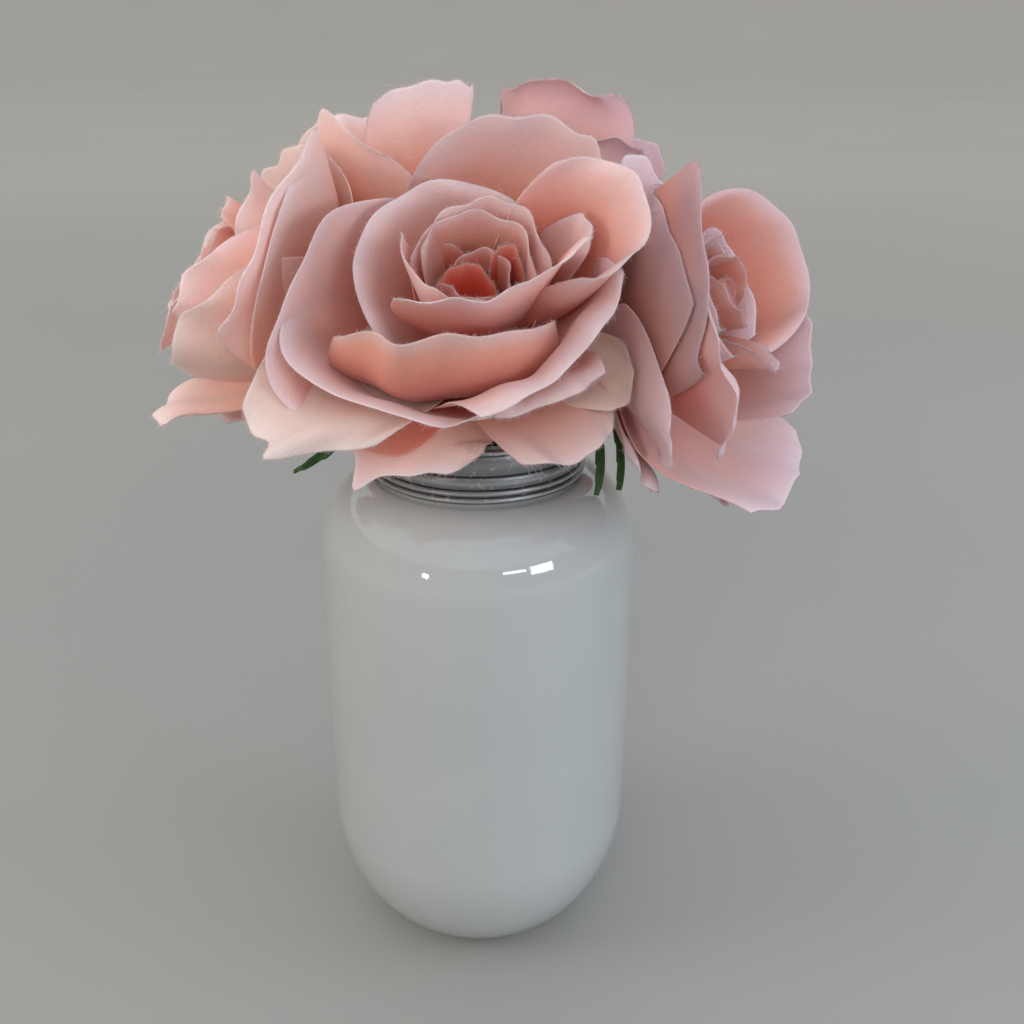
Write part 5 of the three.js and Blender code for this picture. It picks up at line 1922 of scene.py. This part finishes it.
@dataclass
class Studio:
    """A pale floor, soft lamps and the camera.

    Attributes:
        floor_half: Radius of the floor, in metres.
        around: Steps round it.
        sweep_start: Where it begins to rise.
        sweep_height: How high it rises.
        camera_place: Where the camera stands, in metres.
        pitch: How far it looks down, in degrees.
        yaw: How far it looks to the right.
        roll: How far it is turned about its own axis.
        focal: Its focal length in pixels of the 1024-pixel frame.
        sky: Colour of the light from all round.
        sky_strength: Its strength.
        daylight: The even light from the left.
        lamps: The lamps.
    """

    floor_half: float = 9.0
    around: int = 96
    sweep_start: float = 5.0
    sweep_height: float = 3.0
    camera_place: Point = (0.0, -0.3373, 0.2822)
    pitch: float = 22.76
    yaw: float = 1.74
    roll: float = 0.32
    focal: float = 1200.0
    sky: Colour = (0.9, 0.95, 1.0)
    sky_strength: float = 0.82
    daylight: Daylight = Daylight()
    lamps: tuple[SoftBox, ...] = (
        SoftBox(
            "front", (-0.15, -1.3, 0.75), (0.0, 0.0, 0.15), (0.9, 0.7), 6.0, (1.0, 0.97, 0.94), False,
        ),
        SoftBox(
            "warm_left", (-0.95, -0.2, 0.45), (0.0, 0.0, 0.12), (0.5, 0.5), 3.6, (1.0, 0.88, 0.74), False,
        ),
        SoftBox(
            "cool_right", (0.95, -0.15, 0.35), (0.0, 0.0, 0.1), (0.6, 0.5), 3.6, (0.72, 0.86, 1.0), False,
        ),
        SoftBox(
            "window", (0.856, -0.874, 0.354), (0.017, -0.042, 0.142), (0.36, 0.2), 2.6, (0.8, 0.9, 1.0),
        ),
        SoftBox(
            "window_bar", (0.5, -1.09, 0.385), (0.01, -0.045, 0.142), (0.34, 0.06), 0.8,
            (0.85, 0.93, 1.0),
        ),
        SoftBox(
            "bulb", (-0.554, -0.759, 0.221), (-0.014, -0.044, 0.14), (0.07, 0.07), 0.5, (1.0, 0.94, 0.86),
        ),
    )

    def lay_floor(self) -> None:
        """A round sheet of paper: flat out to its sweep, then rising by one minus a cosine."""
        rise = np.linspace(0.0, math.pi / 2, 17)
        out = np.r_[0.0, self.sweep_start + (self.floor_half - self.sweep_start) * np.sin(rise)]
        up = np.r_[0.0, self.sweep_height * (1.0 - np.cos(rise))]
        under = np.stack([out, up - 0.01], -1)
        over = np.stack([out, up], -1)[::-1]
        profile = np.concatenate([under, over]) / MM
        draft = MeshDraft()
        draft.lathe(profile, self.around, {})
        draft.shape("floor", FloorFinish().dress())

    def light(self) -> None:
        """Soft light from all round, and the lamps."""
        world = bpy.data.worlds.new("room")
        world.use_nodes = True
        ground = world.node_tree.nodes["Background"]
        ground.inputs["Color"].default_value = (*self.sky, 1.0)
        ground.inputs["Strength"].default_value = self.sky_strength
        bpy.context.scene.world = world
        self.daylight.shine()
        for lamp in self.lamps:
            lamp.hang()

    def set_camera(self) -> None:
        """The camera at the photograph's place: turned by yaw and pitch, then rolled."""
        pitch, yaw, roll = (math.radians(a) for a in (self.pitch, self.yaw, self.roll))
        forward = Vector((math.sin(yaw) * math.cos(pitch), math.cos(yaw) * math.cos(pitch), -math.sin(pitch)))
        right = Vector((math.cos(yaw), -math.sin(yaw), 0.0))
        up = right.cross(forward)
        level = math.cos(roll) * right + math.sin(roll) * up
        upward = math.cos(roll) * up - math.sin(roll) * right
        data = bpy.data.cameras.new("camera")
        data.sensor_width = 36.0
        data.lens = self.focal / 1024.0 * 36.0
        camera = bpy.data.objects.new("camera", data)
        turned = Matrix((level, upward, -forward)).transposed().to_4x4()
        camera.matrix_world = Matrix.Translation(self.camera_place) @ turned
        bpy.context.scene.collection.objects.link(camera)
        bpy.context.scene.camera = camera


def main() -> None:
    """Builds every piece in order, then the studio."""
    logging.basicConfig(level=logging.INFO, format="%(message)s")
    bpy.context.scene.view_settings.view_transform = "Standard"
    workshop = Workshop(weave_group(), dust_group())
    Jar().build(PaintFinish().dress(workshop))
    Band().build(BandFinish().dress(workshop))
    green, plastic = SepalFinish().dress(workshop), StemFinish().dress()
    finer = {"across": 41, "along": 37}
    for rose in BUNCH.roses:
        grid = finer if rose.name == "front" else {}
        petals, surfaces = Bloom(BUNCH, rose, **grid).build(workshop)
        Frays(rose, surfaces).build(petals.data.materials[0])
        Calyx(rose).build(green)
        Stem(rose).build(plastic)
    studio = Studio()
    studio.lay_floor()
    studio.light()
    studio.set_camera()


if __name__ == "__main__":
    main()
